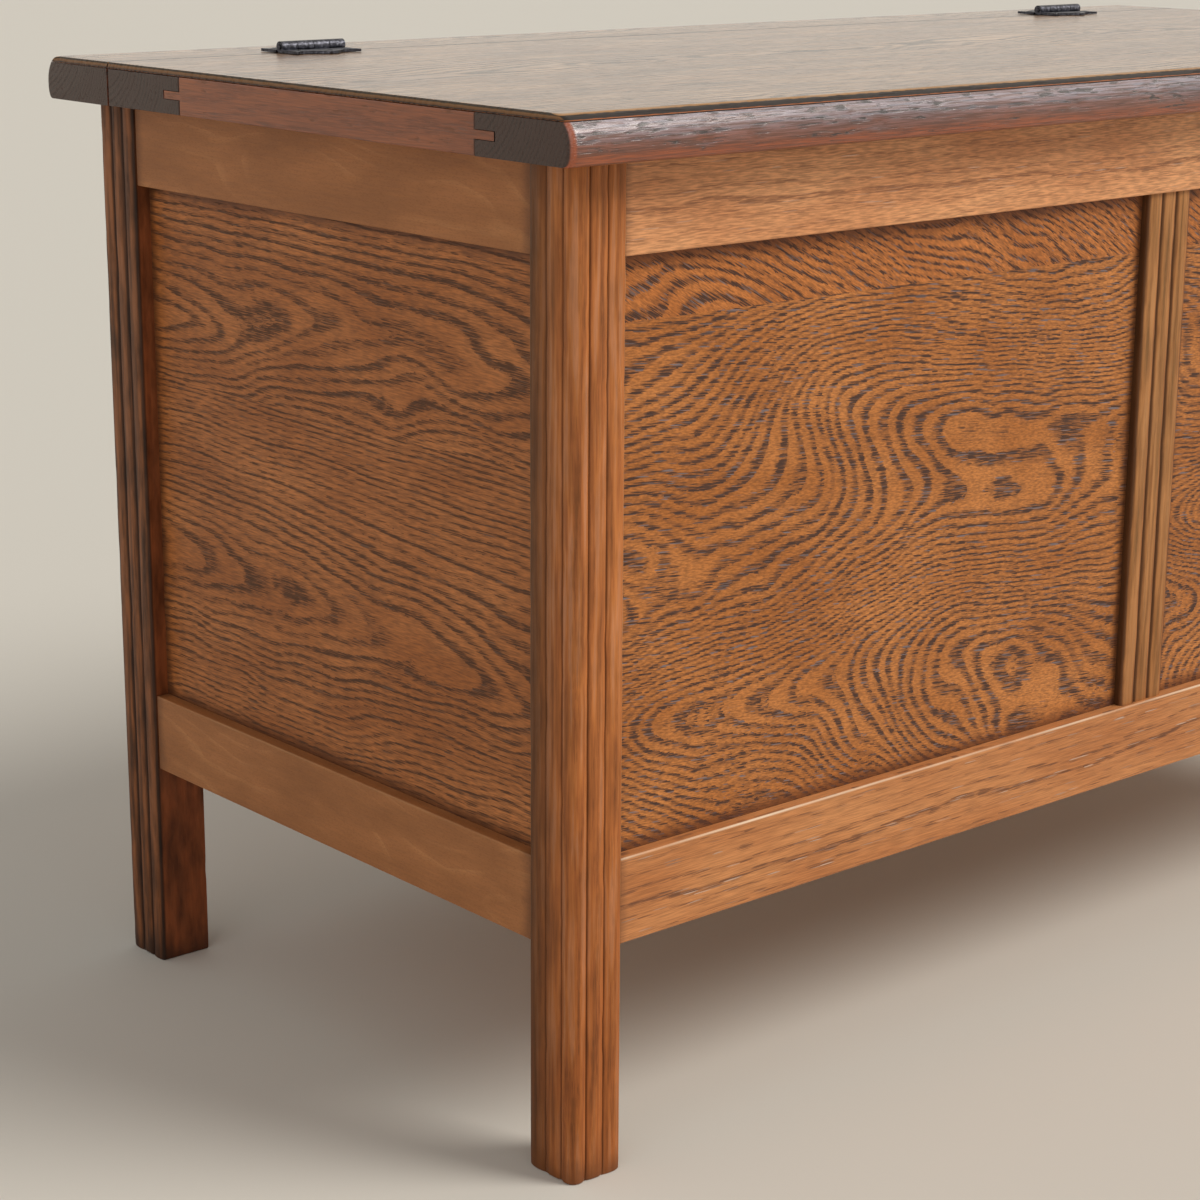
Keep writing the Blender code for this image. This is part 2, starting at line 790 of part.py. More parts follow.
def make_dowel(name, x, y, carrier):
    """A dowel, half in the strip and half in what carries it."""
    dowel = rod(name, DOWEL_RADIUS, DOWEL_LENGTH)
    hole = rod(name + "_hole", DOWEL_RADIUS + FIT, DOWEL_LENGTH + 2 * FIT, CUTTERS)
    for piece in (dowel, hole):
        piece.location = (x, y, LID_BOTTOM - FIT / 2)
    cut((back_strip, carrier), hole)
    paint(PLAIN_PINE, dowel)


post_dowel_x = BODY_WIDTH / 2 - DOWEL_SETBACK
post_dowel_y = BACK - DOWEL_SETBACK
rail_dowel_y = BACK - RAIL_SETBACK - RAIL_THICKNESS / 2
make_dowel("strip_dowel_post_left", -post_dowel_x, post_dowel_y, posts["rear_left"])
make_dowel("strip_dowel_post_right", post_dowel_x, post_dowel_y, posts["rear_right"])
make_dowel("strip_dowel_rail_left", -DOWEL_SPACING / 2, rail_dowel_y, back["top_rail"])
make_dowel("strip_dowel_rail_right", DOWEL_SPACING / 2, rail_dowel_y, back["top_rail"])


# Hinges

LEAF_ROOT = BARREL_RADIUS + FIT
KNUCKLE_PITCH = HINGE_LENGTH / KNUCKLE_COUNT

# A section drawn in X and Y stands up across the hinge line: X to Y, Y to Z and Z to X
TO_HINGE_LINE = Matrix(((0, 0, 1, 0), (1, 0, 0, 0), (0, 1, 0, 0), (0, 0, 0, 1)))

SCREW_SPOTS = {
    "left": (-HINGE_SCREW_SIDE, HINGE_SCREW_OUT),
    "middle": (0, HINGE_SCREW_LOBE_OUT),
    "right": (HINGE_SCREW_SIDE, HINGE_SCREW_OUT),
}


def leaf_outline():
    """Plan of a leaf: scalloped outer edge, pointed corners and a lobe in its middle."""
    half = HINGE_LENGTH / 2
    lobe = LEAF_LOBE_HALF_WIDTH
    edge = [(0, LEAF_DEPTH + LEAF_LOBE)]
    for step in range(1, SCALLOP_STEPS + 1):
        share = step / SCALLOP_STEPS
        rise = LEAF_LOBE * math.cos(share * math.pi / 2)
        edge.append((lobe * share, LEAF_DEPTH + rise))
    for step in range(1, SCALLOP_STEPS + 1):
        share = step / SCALLOP_STEPS
        dip = LEAF_SCALLOP * math.sin(share * math.pi)
        edge.append((lobe + (half - lobe) * share, LEAF_DEPTH - dip))
    points = [(half, LEAF_ROOT), (-half, LEAF_ROOT)]
    points += [(-x, y) for x, y in reversed(edge)]
    points += edge[1:]
    return points


def knuckle_outlines():
    """Section of a rolled knuckle with its root under the leaf, and the bore for the pin."""
    meet = math.asin((LEAF_THICKNESS - BARREL_RADIUS) / BARREL_RADIUS)
    root = LEAF_ROOT + KNUCKLE_ROOT
    outer = [(root, LEAF_THICKNESS - BARREL_RADIUS), (root, -BARREL_RADIUS)]
    bore = []
    for step in range(ROUND_STEPS + 1):
        angle = -math.pi / 2 - (1.5 * math.pi - meet) * step / ROUND_STEPS
        outer.append((BARREL_RADIUS * math.cos(angle), BARREL_RADIUS * math.sin(angle)))
    for step in range(ROUND_STEPS):
        angle = 2 * math.pi * step / ROUND_STEPS
        radius = PIN_RADIUS + PIN_CLEARANCE
        bore.append((radius * math.cos(angle), radius * math.sin(angle)))
    return [outer, bore]


def make_leaf(name, hand, first_knuckle):
    """A leaf lying back from the hinge line, or forward of it, with every second knuckle."""
    leaf = prism(name, [leaf_outline()], LEAF_THICKNESS)
    for index in range(first_knuckle, KNUCKLE_COUNT, 2):
        length = KNUCKLE_PITCH - FIT
        knuckle = prism(f"{name}_knuckle_{index}", knuckle_outlines(), length, CUTTERS)
        middle = KNUCKLE_PITCH * (index + 0.5) - HINGE_LENGTH / 2
        lift = BARREL_RADIUS - LEAF_THICKNESS / 2
        knuckle.matrix_world = Matrix.Translation((hand * middle, 0, lift)) @ TO_HINGE_LINE
        combine(leaf, knuckle, "UNION")
        knuckle.parent = leaf
    leaf.rotation_euler = (0, 0, 0 if hand > 0 else 2 * QUARTER)
    return leaf


def make_hinge(hinge, x):
    """A hinge with its fixed leaf behind the seam and its moving leaf on the lid."""
    pin = rod(hinge + "_pin", PIN_RADIUS, HINGE_LENGTH + 2 * PIN_STAND)
    pin.location = (x, SEAM, HINGE_AXIS_HEIGHT)
    pin.rotation_euler = (0, QUARTER, 0)
    paint(BLACK_IRON, pin)
    leaves = (
        ("rear", 1, 1, (strip_sheet, back_strip)),
        ("front", -1, 0, (lid_sheet, lid_rear_stile)),
    )
    for place, hand, first, boards in leaves:
        leaf = make_leaf(f"{hinge}_{place}_leaf", hand, first)
        leaf.location = (x, SEAM, LEAF_BOTTOM + LEAF_THICKNESS / 2)
        moving = [leaf]
        for count, (spot, (across, out)) in enumerate(SCREW_SPOTS.items()):
            name = f"{hinge}_{place}_screw_{spot}"
            screw = make_screw(name, HINGE_SCREW_LENGTH, SLOT_TURN * (count + first + 1))
            hole = make_screw_hole(name + "_hole", HINGE_SCREW_LENGTH)
            for piece in (screw, hole):
                piece.location = (x + across, SEAM + hand * out, LEAF_TOP)
            cut((leaf, *boards), hole)
            moving += [screw, hole]
            paint(BLACK_IRON, screw)
        paint(BLACK_IRON, leaf)
        if hand < 0:
            for piece in moving:
                hang(piece)


hinge_x = BODY_WIDTH / 2 - HINGE_INSET
make_hinge("hinge_left", -hinge_x)
make_hinge("hinge_right", hinge_x)


# Smooth shading on the round pieces, with their edges kept
for obj in PARTS.objects:
    if obj.type == "MESH":
        obj.data.shade_smooth()
        obj.data.set_sharp_from_angle(angle=SMOOTH_ANGLE)
bpy.context.view_layer.update()
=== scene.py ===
# %% [markdown]
# # An oak blanket chest
#
# The real chest is a frame of oak posts and rails round thin panels, under a nosed lid that hangs on
# two iron hinges. Its pieces come ready made, each in its place and at its size. This notebook gives
# every one of them its finish. Where light runs over a rounded shape, it also makes the piece again
# with a finer mesh, because the eye reads a worn edge or a reed from the shape of its highlight.

# %% Load the frame
import json
import math
import random

import bmesh
import bpy
from mathutils import Matrix, Vector, noise

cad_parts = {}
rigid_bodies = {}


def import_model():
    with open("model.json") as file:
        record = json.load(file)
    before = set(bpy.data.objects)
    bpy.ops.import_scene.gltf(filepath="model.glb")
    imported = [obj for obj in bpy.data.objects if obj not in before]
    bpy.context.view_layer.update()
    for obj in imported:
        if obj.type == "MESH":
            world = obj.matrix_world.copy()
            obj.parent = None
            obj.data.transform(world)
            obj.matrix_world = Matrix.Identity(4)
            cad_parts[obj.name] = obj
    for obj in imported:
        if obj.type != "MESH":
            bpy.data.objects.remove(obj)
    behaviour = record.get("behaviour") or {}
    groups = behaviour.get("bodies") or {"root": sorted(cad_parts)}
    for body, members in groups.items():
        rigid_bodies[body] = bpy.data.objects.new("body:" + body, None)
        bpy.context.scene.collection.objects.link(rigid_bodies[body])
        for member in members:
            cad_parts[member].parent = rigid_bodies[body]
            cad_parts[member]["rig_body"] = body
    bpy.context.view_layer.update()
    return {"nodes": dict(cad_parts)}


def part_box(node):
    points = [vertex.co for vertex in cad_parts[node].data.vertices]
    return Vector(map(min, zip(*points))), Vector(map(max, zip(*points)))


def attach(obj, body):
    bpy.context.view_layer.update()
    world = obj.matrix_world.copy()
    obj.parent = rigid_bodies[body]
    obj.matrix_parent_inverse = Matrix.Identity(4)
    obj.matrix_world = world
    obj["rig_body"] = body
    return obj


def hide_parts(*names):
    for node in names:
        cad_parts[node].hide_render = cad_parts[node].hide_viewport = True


for old in list(bpy.data.objects):
    bpy.data.objects.remove(old)
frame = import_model()
nodes = frame["nodes"]
MM = 0.001

# %% [markdown]
# ## The camera
#
# The view is from the front left corner, a little above the lid. A camera could be placed by eye, but
# the lines of the chest give its place and turn, so those are written here and the matrix is built
# from them. Its three columns are the camera's right, its up and the way it looks, turned about.

# %% Camera
CAMERA_PLACE = Vector((-1.251, -1.161, 0.647))
YAW = 0.713
PITCH = 0.266
ROLL = 0.006
FOCAL_LENGTH = 82.5
SENSOR_WIDTH = 36.0

look = Vector((math.sin(YAW) * math.cos(PITCH), math.cos(YAW) * math.cos(PITCH), -math.sin(PITCH)))
level = Vector((math.cos(YAW), -math.sin(YAW), 0.0))
upright = level.cross(look)
right = math.cos(ROLL) * level + math.sin(ROLL) * upright
up = math.cos(ROLL) * upright - math.sin(ROLL) * level

camera_data = bpy.data.cameras.new("camera")
camera_data.sensor_width = SENSOR_WIDTH
camera_data.lens = FOCAL_LENGTH
camera = bpy.data.objects.new("camera", camera_data)
bpy.context.scene.collection.objects.link(camera)
turn = Matrix((right, up, -look)).transposed().to_4x4()
camera.matrix_world = Matrix.Translation(CAMERA_PLACE) @ turn
bpy.context.scene.camera = camera

# %% [markdown]
# ## Colours and nodes
#
# A colour read off wood is an sRGB value, and a shader works in linear light, so one function
# turns the first into the second. A second function adds a node and wires it up in one call. That
# keeps a long material short enough to read from top to bottom.

# %% Colour and node helpers
def linear(colour):
    """An sRGB hex colour as linear light, with full alpha."""
    channels = [int(colour[place:place + 2], 16) / 255 for place in (1, 3, 5)]
    light = [c / 12.92 if c <= 0.04045 else ((c + 0.055) / 1.055) ** 2.4 for c in channels]
    return (*light, 1.0)


def feed(tree, node, inputs):
    """Fill a node's inputs by name or number: nodes and sockets are linked, the rest is set."""
    for key, value in inputs.items():
        if isinstance(key, int):
            socket = node.inputs[key]
        else:
            socket = next(s for s in node.inputs if s.name == key and s.enabled)
        if isinstance(value, bpy.types.Node):
            value = next(s for s in value.outputs if s.enabled)
        if isinstance(value, bpy.types.NodeSocket):
            tree.links.new(value, socket)
        elif isinstance(value, str):
            socket.default_value = linear(value)
        else:
            socket.default_value = value


def add(tree, kind, inputs=None, stops=None, **settings):
    """Add a node with its settings, its inputs and, on a ramp, its stops."""
    node = tree.nodes.new("ShaderNode" + kind)
    for name, value in settings.items():
        setattr(node, name, value)
    feed(tree, node, inputs or {})
    if stops:
        points = node.color_ramp.elements
        points.remove(points[1])
        points[0].position = stops[0][0]
        for place, _ in stops[1:]:
            points.new(place)
        for point, (_, value) in zip(points, stops):
            point.color = linear(value) if isinstance(value, str) else (value, value, value, 1.0)
    return node


def start(name):
    """A new material: itself, its node tree and its shader."""
    material = bpy.data.materials.new(name)
    material.use_nodes = True
    return material, material.node_tree, material.node_tree.nodes["Principled BSDF"]


print("oak brown in linear light:", [round(c, 3) for c in linear("#b4713c")])

# %% [markdown]
# ## Coats
#
# Wood is finished in coats: a stain covers part of what lies below it, and a glaze tints it. One
# formula could mix them all at once, but a list of coats in the order in which they were laid on
# reads like the work at the bench. Each has a share, which may change over the surface, and a tone.

# %% Coats of stain and glaze
GLAZE = "MULTIPLY"


def coats(tree, colour, layers):
    """Lay coats over a colour in order: a share and a tone each, and the word for a glaze."""
    for share, tone, *way in layers:
        colour = add(
            tree, "Mix", {"Factor": share, "A": colour, "B": tone}, data_type="RGBA",
            blend_type=way[0] if way else "MIX",
        )
    return colour


print("a glaze tints by:", GLAZE.lower())

# %% [markdown]
# ## Places in a piece of wood
#
# Grain runs along a piece, so a pattern of wood needs to know which way that is. The object's own
# coordinates are used, because they stay with the piece when the lid turns, and they are put in a new
# order: first along the grain, then across the face, then into the wood. They are counted in
# millimetres from the piece's middle, so that every size below is one that a rule could measure.

# %% Places along the grain
def middle_of(node):
    """The middle of a piece, from its lowest and highest corners."""
    low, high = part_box(node)
    return (low + high) / 2


def lay(tree, node, order):
    """Millimetres along, across and into a piece, from its middle. The order names the axes."""
    middle = middle_of(node)
    coordinates = add(tree, "TexCoord")
    axes = add(tree, "SeparateXYZ", {"Vector": coordinates.outputs["Object"]})
    ways = {way: axes.outputs[axis] for way, axis in zip("XYZ", order)}
    turned = add(tree, "CombineXYZ", ways)
    shift = [-middle["XYZ".index(axis)] / MM for axis in order]
    return add(
        tree, "VectorMath", {0: turned, 1: (1 / MM,) * 3, 2: shift}, operation="MULTIPLY_ADD"
    )


def marks(tree, place, size, seed=0.0, **more):
    """The inputs of a pattern whose marks have a size in millimetres along, across and in."""
    steps = [1 / length for length in size]
    spot = add(
        tree, "VectorMath", {0: place, 1: steps, 2: (seed,) * 3}, operation="MULTIPLY_ADD"
    )
    return {"Vector": spot, "Scale": 1.0, **more}


print("middle of the left front panel, mm:", [round(v / MM) for v in middle_of("front_panel_left")])

# %% [markdown]
# ## Growth rings
#
# A board is cut from rings round the heart of a tree. The figure on its face, the nested arches and
# loops, is where that cut meets them. It could be drawn as stripes bent by noise, but such stripes
# never close into loops of the right shape. So the rings are made as they grow: the distance from a
# heart line, counted in ring widths. The heart line wanders, kinks in places, and the fibres ripple
# round it. A dry year leaves a ring with few vessels, so each ring also draws its own strength.

# %% Rings round the heart
KINK_SPREAD = 0.14
KINK_SEED = 3.3


def rings(tree, place, cut):
    """How many rings lie between the heart of the tree and a place in a board."""
    bent = place
    for way, seed, detail in (("bend", cut["seed"], 0.0), ("ripple", -cut["seed"], 1.0)):
        drift = add(tree, "TexNoise", marks(tree, place, cut[way + "_size"], seed, Detail=detail))
        sway = 2 * cut[way]
        bent = add(
            tree, "VectorMath", {0: drift.outputs["Color"], 1: (0, sway, sway), 2: bent},
            operation="MULTIPLY_ADD",
        )
    if "kink" in cut:
        seed = cut["seed"] + KINK_SEED
        kink = add(tree, "TexNoise", marks(tree, place, cut["kink_size"], seed, Detail=1.0))
        thrown = add(
            tree, "MapRange",
            {"Value": kink, "From Min": 0.5 - KINK_SPREAD, "From Max": 0.5 + KINK_SPREAD,
             "To Min": -cut["kink"], "To Max": cut["kink"]},
            interpolation_type="SMOOTHSTEP",
        )
        both = add(tree, "CombineXYZ", {"Y": thrown, "Z": thrown})
        bent = add(tree, "VectorMath", {0: bent, 1: both}, operation="ADD")
    centre = [far + cut["bend"] + cut["ripple"] for far in cut["heart"]]
    offset = add(tree, "VectorMath", {0: bent, 1: (0, *centre)}, operation="SUBTRACT")
    per_ring = 1 / cut["ring"]
    scaled = add(
        tree, "VectorMath", {0: offset, 1: (0, per_ring, per_ring)}, operation="MULTIPLY"
    )
    return add(tree, "VectorMath", {0: scaled}, operation="LENGTH").outputs["Value"]


def ring_phase(tree, place, cut):
    """How far through its ring a place lies, and how open the wood of that year is."""
    count = rings(tree, place, cut)
    phase = add(tree, "Math", {0: count}, operation="FRACT")
    year = add(tree, "Math", {0: count}, operation="FLOOR")
    luck = add(tree, "TexWhiteNoise", {"W": year}, noise_dimensions="1D")
    growth = add(
        tree, "MapRange", {"Value": luck.outputs["Value"], "To Min": cut["poor_year"]}
    )
    return phase, growth


print("a kink starts at a noise of:", 0.5 - KINK_SPREAD, "and ends at:", 0.5 + KINK_SPREAD)

# %% [markdown]
# ## Pores
#
# Oak is ring porous: each spring it lays down a band of wide vessels, and a cut along the board opens
# them as short dark slots. Those slots, not painted lines, draw the figure, which is why its edge
# looks jagged from close by. Each slot here is one cell of a Voronoi pattern, stretched along the
# grain. The ring at the cell's own middle decides whether it is open, so that no slot is cut in two.
# On a flat face the cells are laid out in its plane only, which gives every slot its full width.
#
# A real vessel is about 0.3 mm wide, too fine to show from here. So the slots are drawn about half a
# millimetre wide or more, and fewer, which gives the same share of dark wood.

# %% Pores in the early wood
EARLY_PORES = [(0.0, 1.0), (0.23, 1.0), (0.38, 0.45), (0.52, 0.06), (0.94, 0.03), (1.0, 1.0)]
FINE_PORES = [(0.0, 0.8), (0.35, 0.65), (0.55, 0.25), (1.0, 0.2)]
SLOT_CORE = 0.5
SLOT_EDGE = 0.78
OPENING = 0.2


def pores(tree, place, cut, size, open_share, flat):
    """A mask of open slots of a size in millimetres, and each one's luck. The stops span a ring."""
    cells = add(
        tree, "TexVoronoi", marks(tree, place, size, cut["seed"]),
        voronoi_dimensions="2D" if flat else "3D",
    )
    reach = (size[0], size[1], 0.0 if flat else size[2])
    back = [-cut["seed"] * length for length in reach]
    centre = add(
        tree, "VectorMath", {0: cells.outputs["Position"], 1: reach, 2: back},
        operation="MULTIPLY_ADD",
    )
    if flat:
        centre = add(tree, "VectorMath", {0: place, 1: (0, 0, 1), 2: centre}, operation="MULTIPLY_ADD")
    phase, growth = ring_phase(tree, centre, cut)
    usual = add(tree, "ValToRGB", {"Fac": phase}, stops=open_share)
    share = add(tree, "Math", {0: usual, 1: growth}, operation="MULTIPLY")
    luck = add(tree, "SeparateXYZ", {"Vector": cells.outputs["Color"]})
    margin = add(tree, "Math", {0: share, 1: luck.outputs["X"]}, operation="SUBTRACT")
    opened = add(tree, "MapRange", {"Value": margin, "From Min": 0.0, "From Max": OPENING})
    shape = add(
        tree, "MapRange",
        {"Value": cells.outputs["Distance"], "From Min": SLOT_CORE, "From Max": SLOT_EDGE,
         "To Min": 1.0, "To Max": 0.0},
    )
    return add(tree, "Math", {0: opened, 1: shape}, operation="MULTIPLY"), luck.outputs["Y"]


print("share of a ring that is full of pores:", EARLY_PORES[1][0])

# %% [markdown]
# ## Oak under wax
#
# This oak was stained a golden brown, varnished and waxed. The stain sits darkest in the open pores,
# a thin coat lies over everything, and hands have rubbed the edges pale. The body colour is a mix of
# a light and a deep tone, the early wood of each ring is deeper still, and fine fibres run through
# it. Only then are the pores laid in, because on the bench the stain also reached them last. Some of
# them are given the glint tone, grey or blue: a painted reflection of the sky in them.

# %% The body of a piece of oak
CLOUD_SIZE = (90.0, 35.0, 35.0)
FINE_SIZE = (7.0, 0.42, 0.42)
EARLY_DEPTH = [(0.0, 0.5), (0.21, 0.6), (0.45, 0.08), (0.6, 0.0), (0.9, 0.0), (1.0, 0.5)]


def oak_body(tree, place, cut, tones, grain):
    """The colour of stained oak, the mask of its pores and the fibre pattern."""
    cloud = add(tree, "TexNoise", marks(tree, place, CLOUD_SIZE, cut["seed"], Detail=3.0))
    cloudy = add(tree, "MapRange", {"Value": cloud, "From Min": 0.32, "From Max": 0.68})
    phase, growth = ring_phase(tree, place, cut)
    early = add(tree, "ValToRGB", {"Fac": phase}, stops=EARLY_DEPTH)
    grown = add(tree, "Math", {0: early, 1: growth}, operation="MULTIPLY")
    fibre = add(tree, "TexNoise", marks(tree, place, grain["fibre"], cut["seed"], Detail=3.0))
    spread = grain["streak"]
    streak = add(
        tree, "MapRange",
        {"Value": fibre, "From Min": 0.35, "From Max": 0.65, "To Min": 1 - spread,
         "To Max": 1 + 0.6 * spread},
    )
    big, luck = pores(tree, place, cut, grain["pore"], EARLY_PORES, grain["flat"])
    small, _ = pores(tree, place, cut, FINE_SIZE, FINE_PORES, grain["flat"])
    strong = add(tree, "Math", {0: big, 1: grain["open"]}, operation="MULTIPLY")
    faint = add(tree, "Math", {0: small, 1: grain["fine"]}, operation="MULTIPLY")
    # Pores past glint_from take the glint tone: a painted reflection of the sky.
    pore_colour = add(
        tree, "ValToRGB", {"Fac": luck},
        stops=[(0.0, tones["pore"]), (grain["glint_from"], tones["pore"]), (1.0, tones["glint"])],
    )
    colour = coats(tree, tones["light"], [
        (cloudy, tones["deep"]), (grown, tones["early"]), (1.0, streak, GLAZE),
        (faint, tones["pore"]), (strong, pore_colour),
    ])
    depth = add(tree, "Math", {0: strong, 1: faint}, operation="MAXIMUM")
    return colour, depth, fibre


print("fine pores of the oak, mm:", FINE_SIZE)

# %% [markdown]
# Gloss comes last. Wax fills a hollow less well than a flat, so the open pores are rougher, and they
# are the hollows of the bump. A coat over the base gives the skin of wax or varnish its own
# reflection. On thin wax that skin is level, on a thick varnish it follows the bumps.

# %% Wax and bump
HOLLOW_ROUGHNESS = 0.25
FIBRE_ROUGHNESS = 0.08
RELIEF_DEPTH = 0.15 * MM
WAXED = {
    "roughness": 0.48, "relief": 0.5, "specular": 0.3, "coat": 0.05, "coat_roughness": 0.35,
    "coat_relief": False,
}


def polish(tree, shader, colour, hollows, fibre, gloss):
    """Join colour, roughness and bump to the shader, under a coat of wax or varnish."""
    flat_roughness = gloss["roughness"]
    rough = add(
        tree, "MapRange",
        {"Value": hollows, "To Min": flat_roughness, "To Max": flat_roughness + HOLLOW_ROUGHNESS},
    )
    uneven = add(
        tree, "MapRange", {"Value": fibre, "To Min": -FIBRE_ROUGHNESS, "To Max": FIBRE_ROUGHNESS}
    )
    roughness = add(tree, "Math", {0: rough, 1: uneven}, operation="ADD")
    height = add(tree, "Math", {0: hollows, 1: -1.0, 2: fibre}, operation="MULTIPLY_ADD")
    bump = add(
        tree, "Bump", {"Height": height, "Strength": gloss["relief"], "Distance": RELIEF_DEPTH}
    )
    feed(tree, shader, {
        "Base Color": colour, "Roughness": roughness, "Normal": bump, "IOR": 1.5,
        "Specular IOR Level": gloss["specular"], "Coat Weight": gloss["coat"],
        "Coat Roughness": gloss["coat_roughness"], "Coat IOR": 1.5,
    })
    if gloss["coat_relief"]:
        feed(tree, shader, {"Coat Normal": bump})


print("coat of the waxed oak:", WAXED["coat"])

# %% [markdown]
# ## Grime, painted shade and wear
#
# Old polish gathers in corners, where a cloth never reaches, and rubs off the edges, where every
# knee and hand does. The darkening towards corners and joints also stands for the shade that falls
# there, so it is painted shade as well as grime. Both follow from how far a place is from the sides
# of its piece, so one function measures that and each finish uses it for what it needs.

# %% Distance from the sides of a piece
GRIME_AND_SHADE_SIZE = (14.0, 14.0, 14.0)


def from_sides(tree, place, node, order):
    """How many millimetres a place lies inside the ends, the edges and the faces of its piece."""
    low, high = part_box(node)
    half = [(high - low)["XYZ".index(axis)] / 2 / MM for axis in order]
    size = add(tree, "VectorMath", {0: place}, operation="ABSOLUTE")
    inside = add(tree, "VectorMath", {0: half, 1: size}, operation="SUBTRACT")
    return add(tree, "SeparateXYZ", {"Vector": inside})


def grime_and_shade(tree, colour, distance, reach, tone, strength, place, seed):
    """Darken a colour towards an edge, with an uneven border: grime, and painted shade where it falls."""
    patchy = add(tree, "TexNoise", marks(tree, place, GRIME_AND_SHADE_SIZE, seed, Detail=3.0))
    ragged = add(tree, "MapRange", {"Value": patchy, "To Min": -0.5 * reach, "To Max": 0.5 * reach})
    edge = add(tree, "Math", {0: distance, 1: ragged}, operation="ADD")
    amount = add(
        tree, "MapRange",
        {"Value": edge, "From Min": 0.0, "From Max": reach, "To Min": strength, "To Max": 0.0},
        interpolation_type="SMOOTHSTEP",
    )
    return add(tree, "Mix", {"Factor": amount, "A": colour, "B": tone}, data_type="RGBA")


def dress(node, material):
    """Give a node that keeps its own mesh its material."""
    nodes[node].data.materials[0] = material


print("patches of grime, mm:", GRIME_AND_SHADE_SIZE[0])

# %% [markdown]
# ## Panels
#
# Each panel is thin flat-sawn oak, glued up from two boards, so the figure changes at a joint. A
# board's figure follows from how far behind the face its heart lay. Close to the heart line the
# rings open wide, and away from it they crowd into fine lines. A board is seldom sawn quite along
# the trunk: where the heart runs out of the board at a slant, closed loops open into arches that all
# point one way. So each board has a step, which says where in the log it lay, and a turn.

# %% Flat-sawn oak
PANEL_HELD = 6.2
PANEL_GRIME_AND_SHADE = 9.0


def flat_sawn_oak(name, node, order, cut, kind):
    """Waxed flat-sawn oak for a panel. Its two boards lie below and above a joint."""
    material, tree, shader = start(name)
    own_place = lay(tree, node, order)
    across = add(tree, "SeparateXYZ", {"Vector": own_place})
    above = add(tree, "Math", {0: across.outputs["Y"], 1: kind["joint"]}, operation="GREATER_THAN")
    lower, upper = kind["boards"]
    step = add(
        tree, "Mix", {"Factor": above, "A": lower["step"], "B": upper["step"]}, data_type="VECTOR"
    )
    lower_turn, upper_turn = [[math.radians(angle) for angle in board["turn"]]
                              for board in (lower, upper)]
    turned = add(
        tree, "Mix", {"Factor": above, "A": lower_turn, "B": upper_turn}, data_type="VECTOR"
    )
    place = add(
        tree, "Mapping",
        {"Vector": own_place, "Location": step, "Rotation": turned, "Scale": (kind["way"], 1, 1)},
    )
    tones = kind["tones"]
    colour, hollows, fibre = oak_body(tree, place, cut, tones, kind["grain"])
    colour = coats(tree, colour, [(above, tones["upper"], GLAZE)])
    sides = from_sides(tree, own_place, node, order)
    # Darker towards the frame: grime, and painted shade where the frame shades the panel.
    for side in ("X", "Y"):
        seen = add(tree, "Math", {0: sides.outputs[side], 1: PANEL_HELD}, operation="SUBTRACT")
        colour = grime_and_shade(tree, colour, seen, PANEL_GRIME_AND_SHADE, tones["grime_and_shade"], 0.75, own_place, cut["seed"])
    polish(tree, shader, colour, hollows, fibre, WAXED)
    return material


print("hidden in the groove, mm:", PANEL_HELD)

# %% Front and side panels
FRONT_KIND = {
    "joint": 116.0, "way": 1.0,
    "boards": (
        {"step": (0.0, -20.0, 0.0), "turn": (0.0, -14.0, 5.0)},
        {"step": (350.0, -70.0, 0.0), "turn": (0.0, -15.0, 30.0)},
    ),
    "tones": {
        "light": "#c67f43", "deep": "#ad682e", "early": "#85522e", "pore": "#3f2c27",
        "glint": "#80767a", "grime_and_shade": "#5a3420", "upper": "#fff6ec",
    },
    "grain": {
        "pore": (8.2, 0.55, 0.55), "open": 0.92, "fine": 0.42, "fibre": (9.0, 0.8, 0.8),
        "streak": 0.34, "glint_from": 0.75, "flat": True,
    },
}
# The side panels' tones are a little darker than the front's: painted shade for the side that faces away
# from the key lamp.
SIDE_KIND = {
    "joint": 41.0, "way": -1.0,
    "boards": (
        {"step": (0.0, -80.0, 0.0), "turn": (0.0, 3.5, -1.0)},
        {"step": (300.0, -230.0, 0.0), "turn": (0.0, 3.5, 1.0)},
    ),
    "tones": {
        "light": "#bc7640", "deep": "#a25f2c", "early": "#824e2a", "pore": "#40291c",
        "glint": "#665246", "grime_and_shade": "#55301a", "upper": "#ffffff",
    },
    "grain": dict(
        FRONT_KIND["grain"], pore=(9.0, 0.45, 0.45), open=0.8, fine=0.36, glint_from=0.85
    ),
}
FRONT_CUT = {
    "heart": (-115.0, 90.0), "ring": 4.4, "bend": 70.0, "bend_size": (320.0, 95.0, 95.0),
    "kink": 6.0, "kink_size": (110.0, 100.0, 100.0), "ripple": 5.5,
    "ripple_size": (34.0, 60.0, 60.0), "poor_year": 0.6,
}
SIDE_CUT = {
    "heart": (-140.0, 34.0), "ring": 3.4, "bend": 13.0, "bend_size": (420.0, 100.0, 100.0),
    "kink": 2.5, "kink_size": (110.0, 60.0, 60.0), "ripple": 2.2,
    "ripple_size": (60.0, 25.0, 25.0), "poor_year": 0.4,
}
PANELS = (
    ("front_panel_left", "XZY", FRONT_CUT, FRONT_KIND, 21.3),
    ("front_panel_right", "XZY", FRONT_CUT, FRONT_KIND, 33.3),
    ("left_panel", "YZX", SIDE_CUT, SIDE_KIND, 15.7),
    ("right_panel", "YZX", SIDE_CUT, SIDE_KIND, 19.7),
)
for node, order, cut, kind, seed in PANELS:
    oak = flat_sawn_oak("waxed_flat_sawn_oak_" + node, node, order, dict(cut, seed=seed), kind)
    dress(node, oak)
print("ring width in the front panels, mm:", FRONT_CUT["ring"])

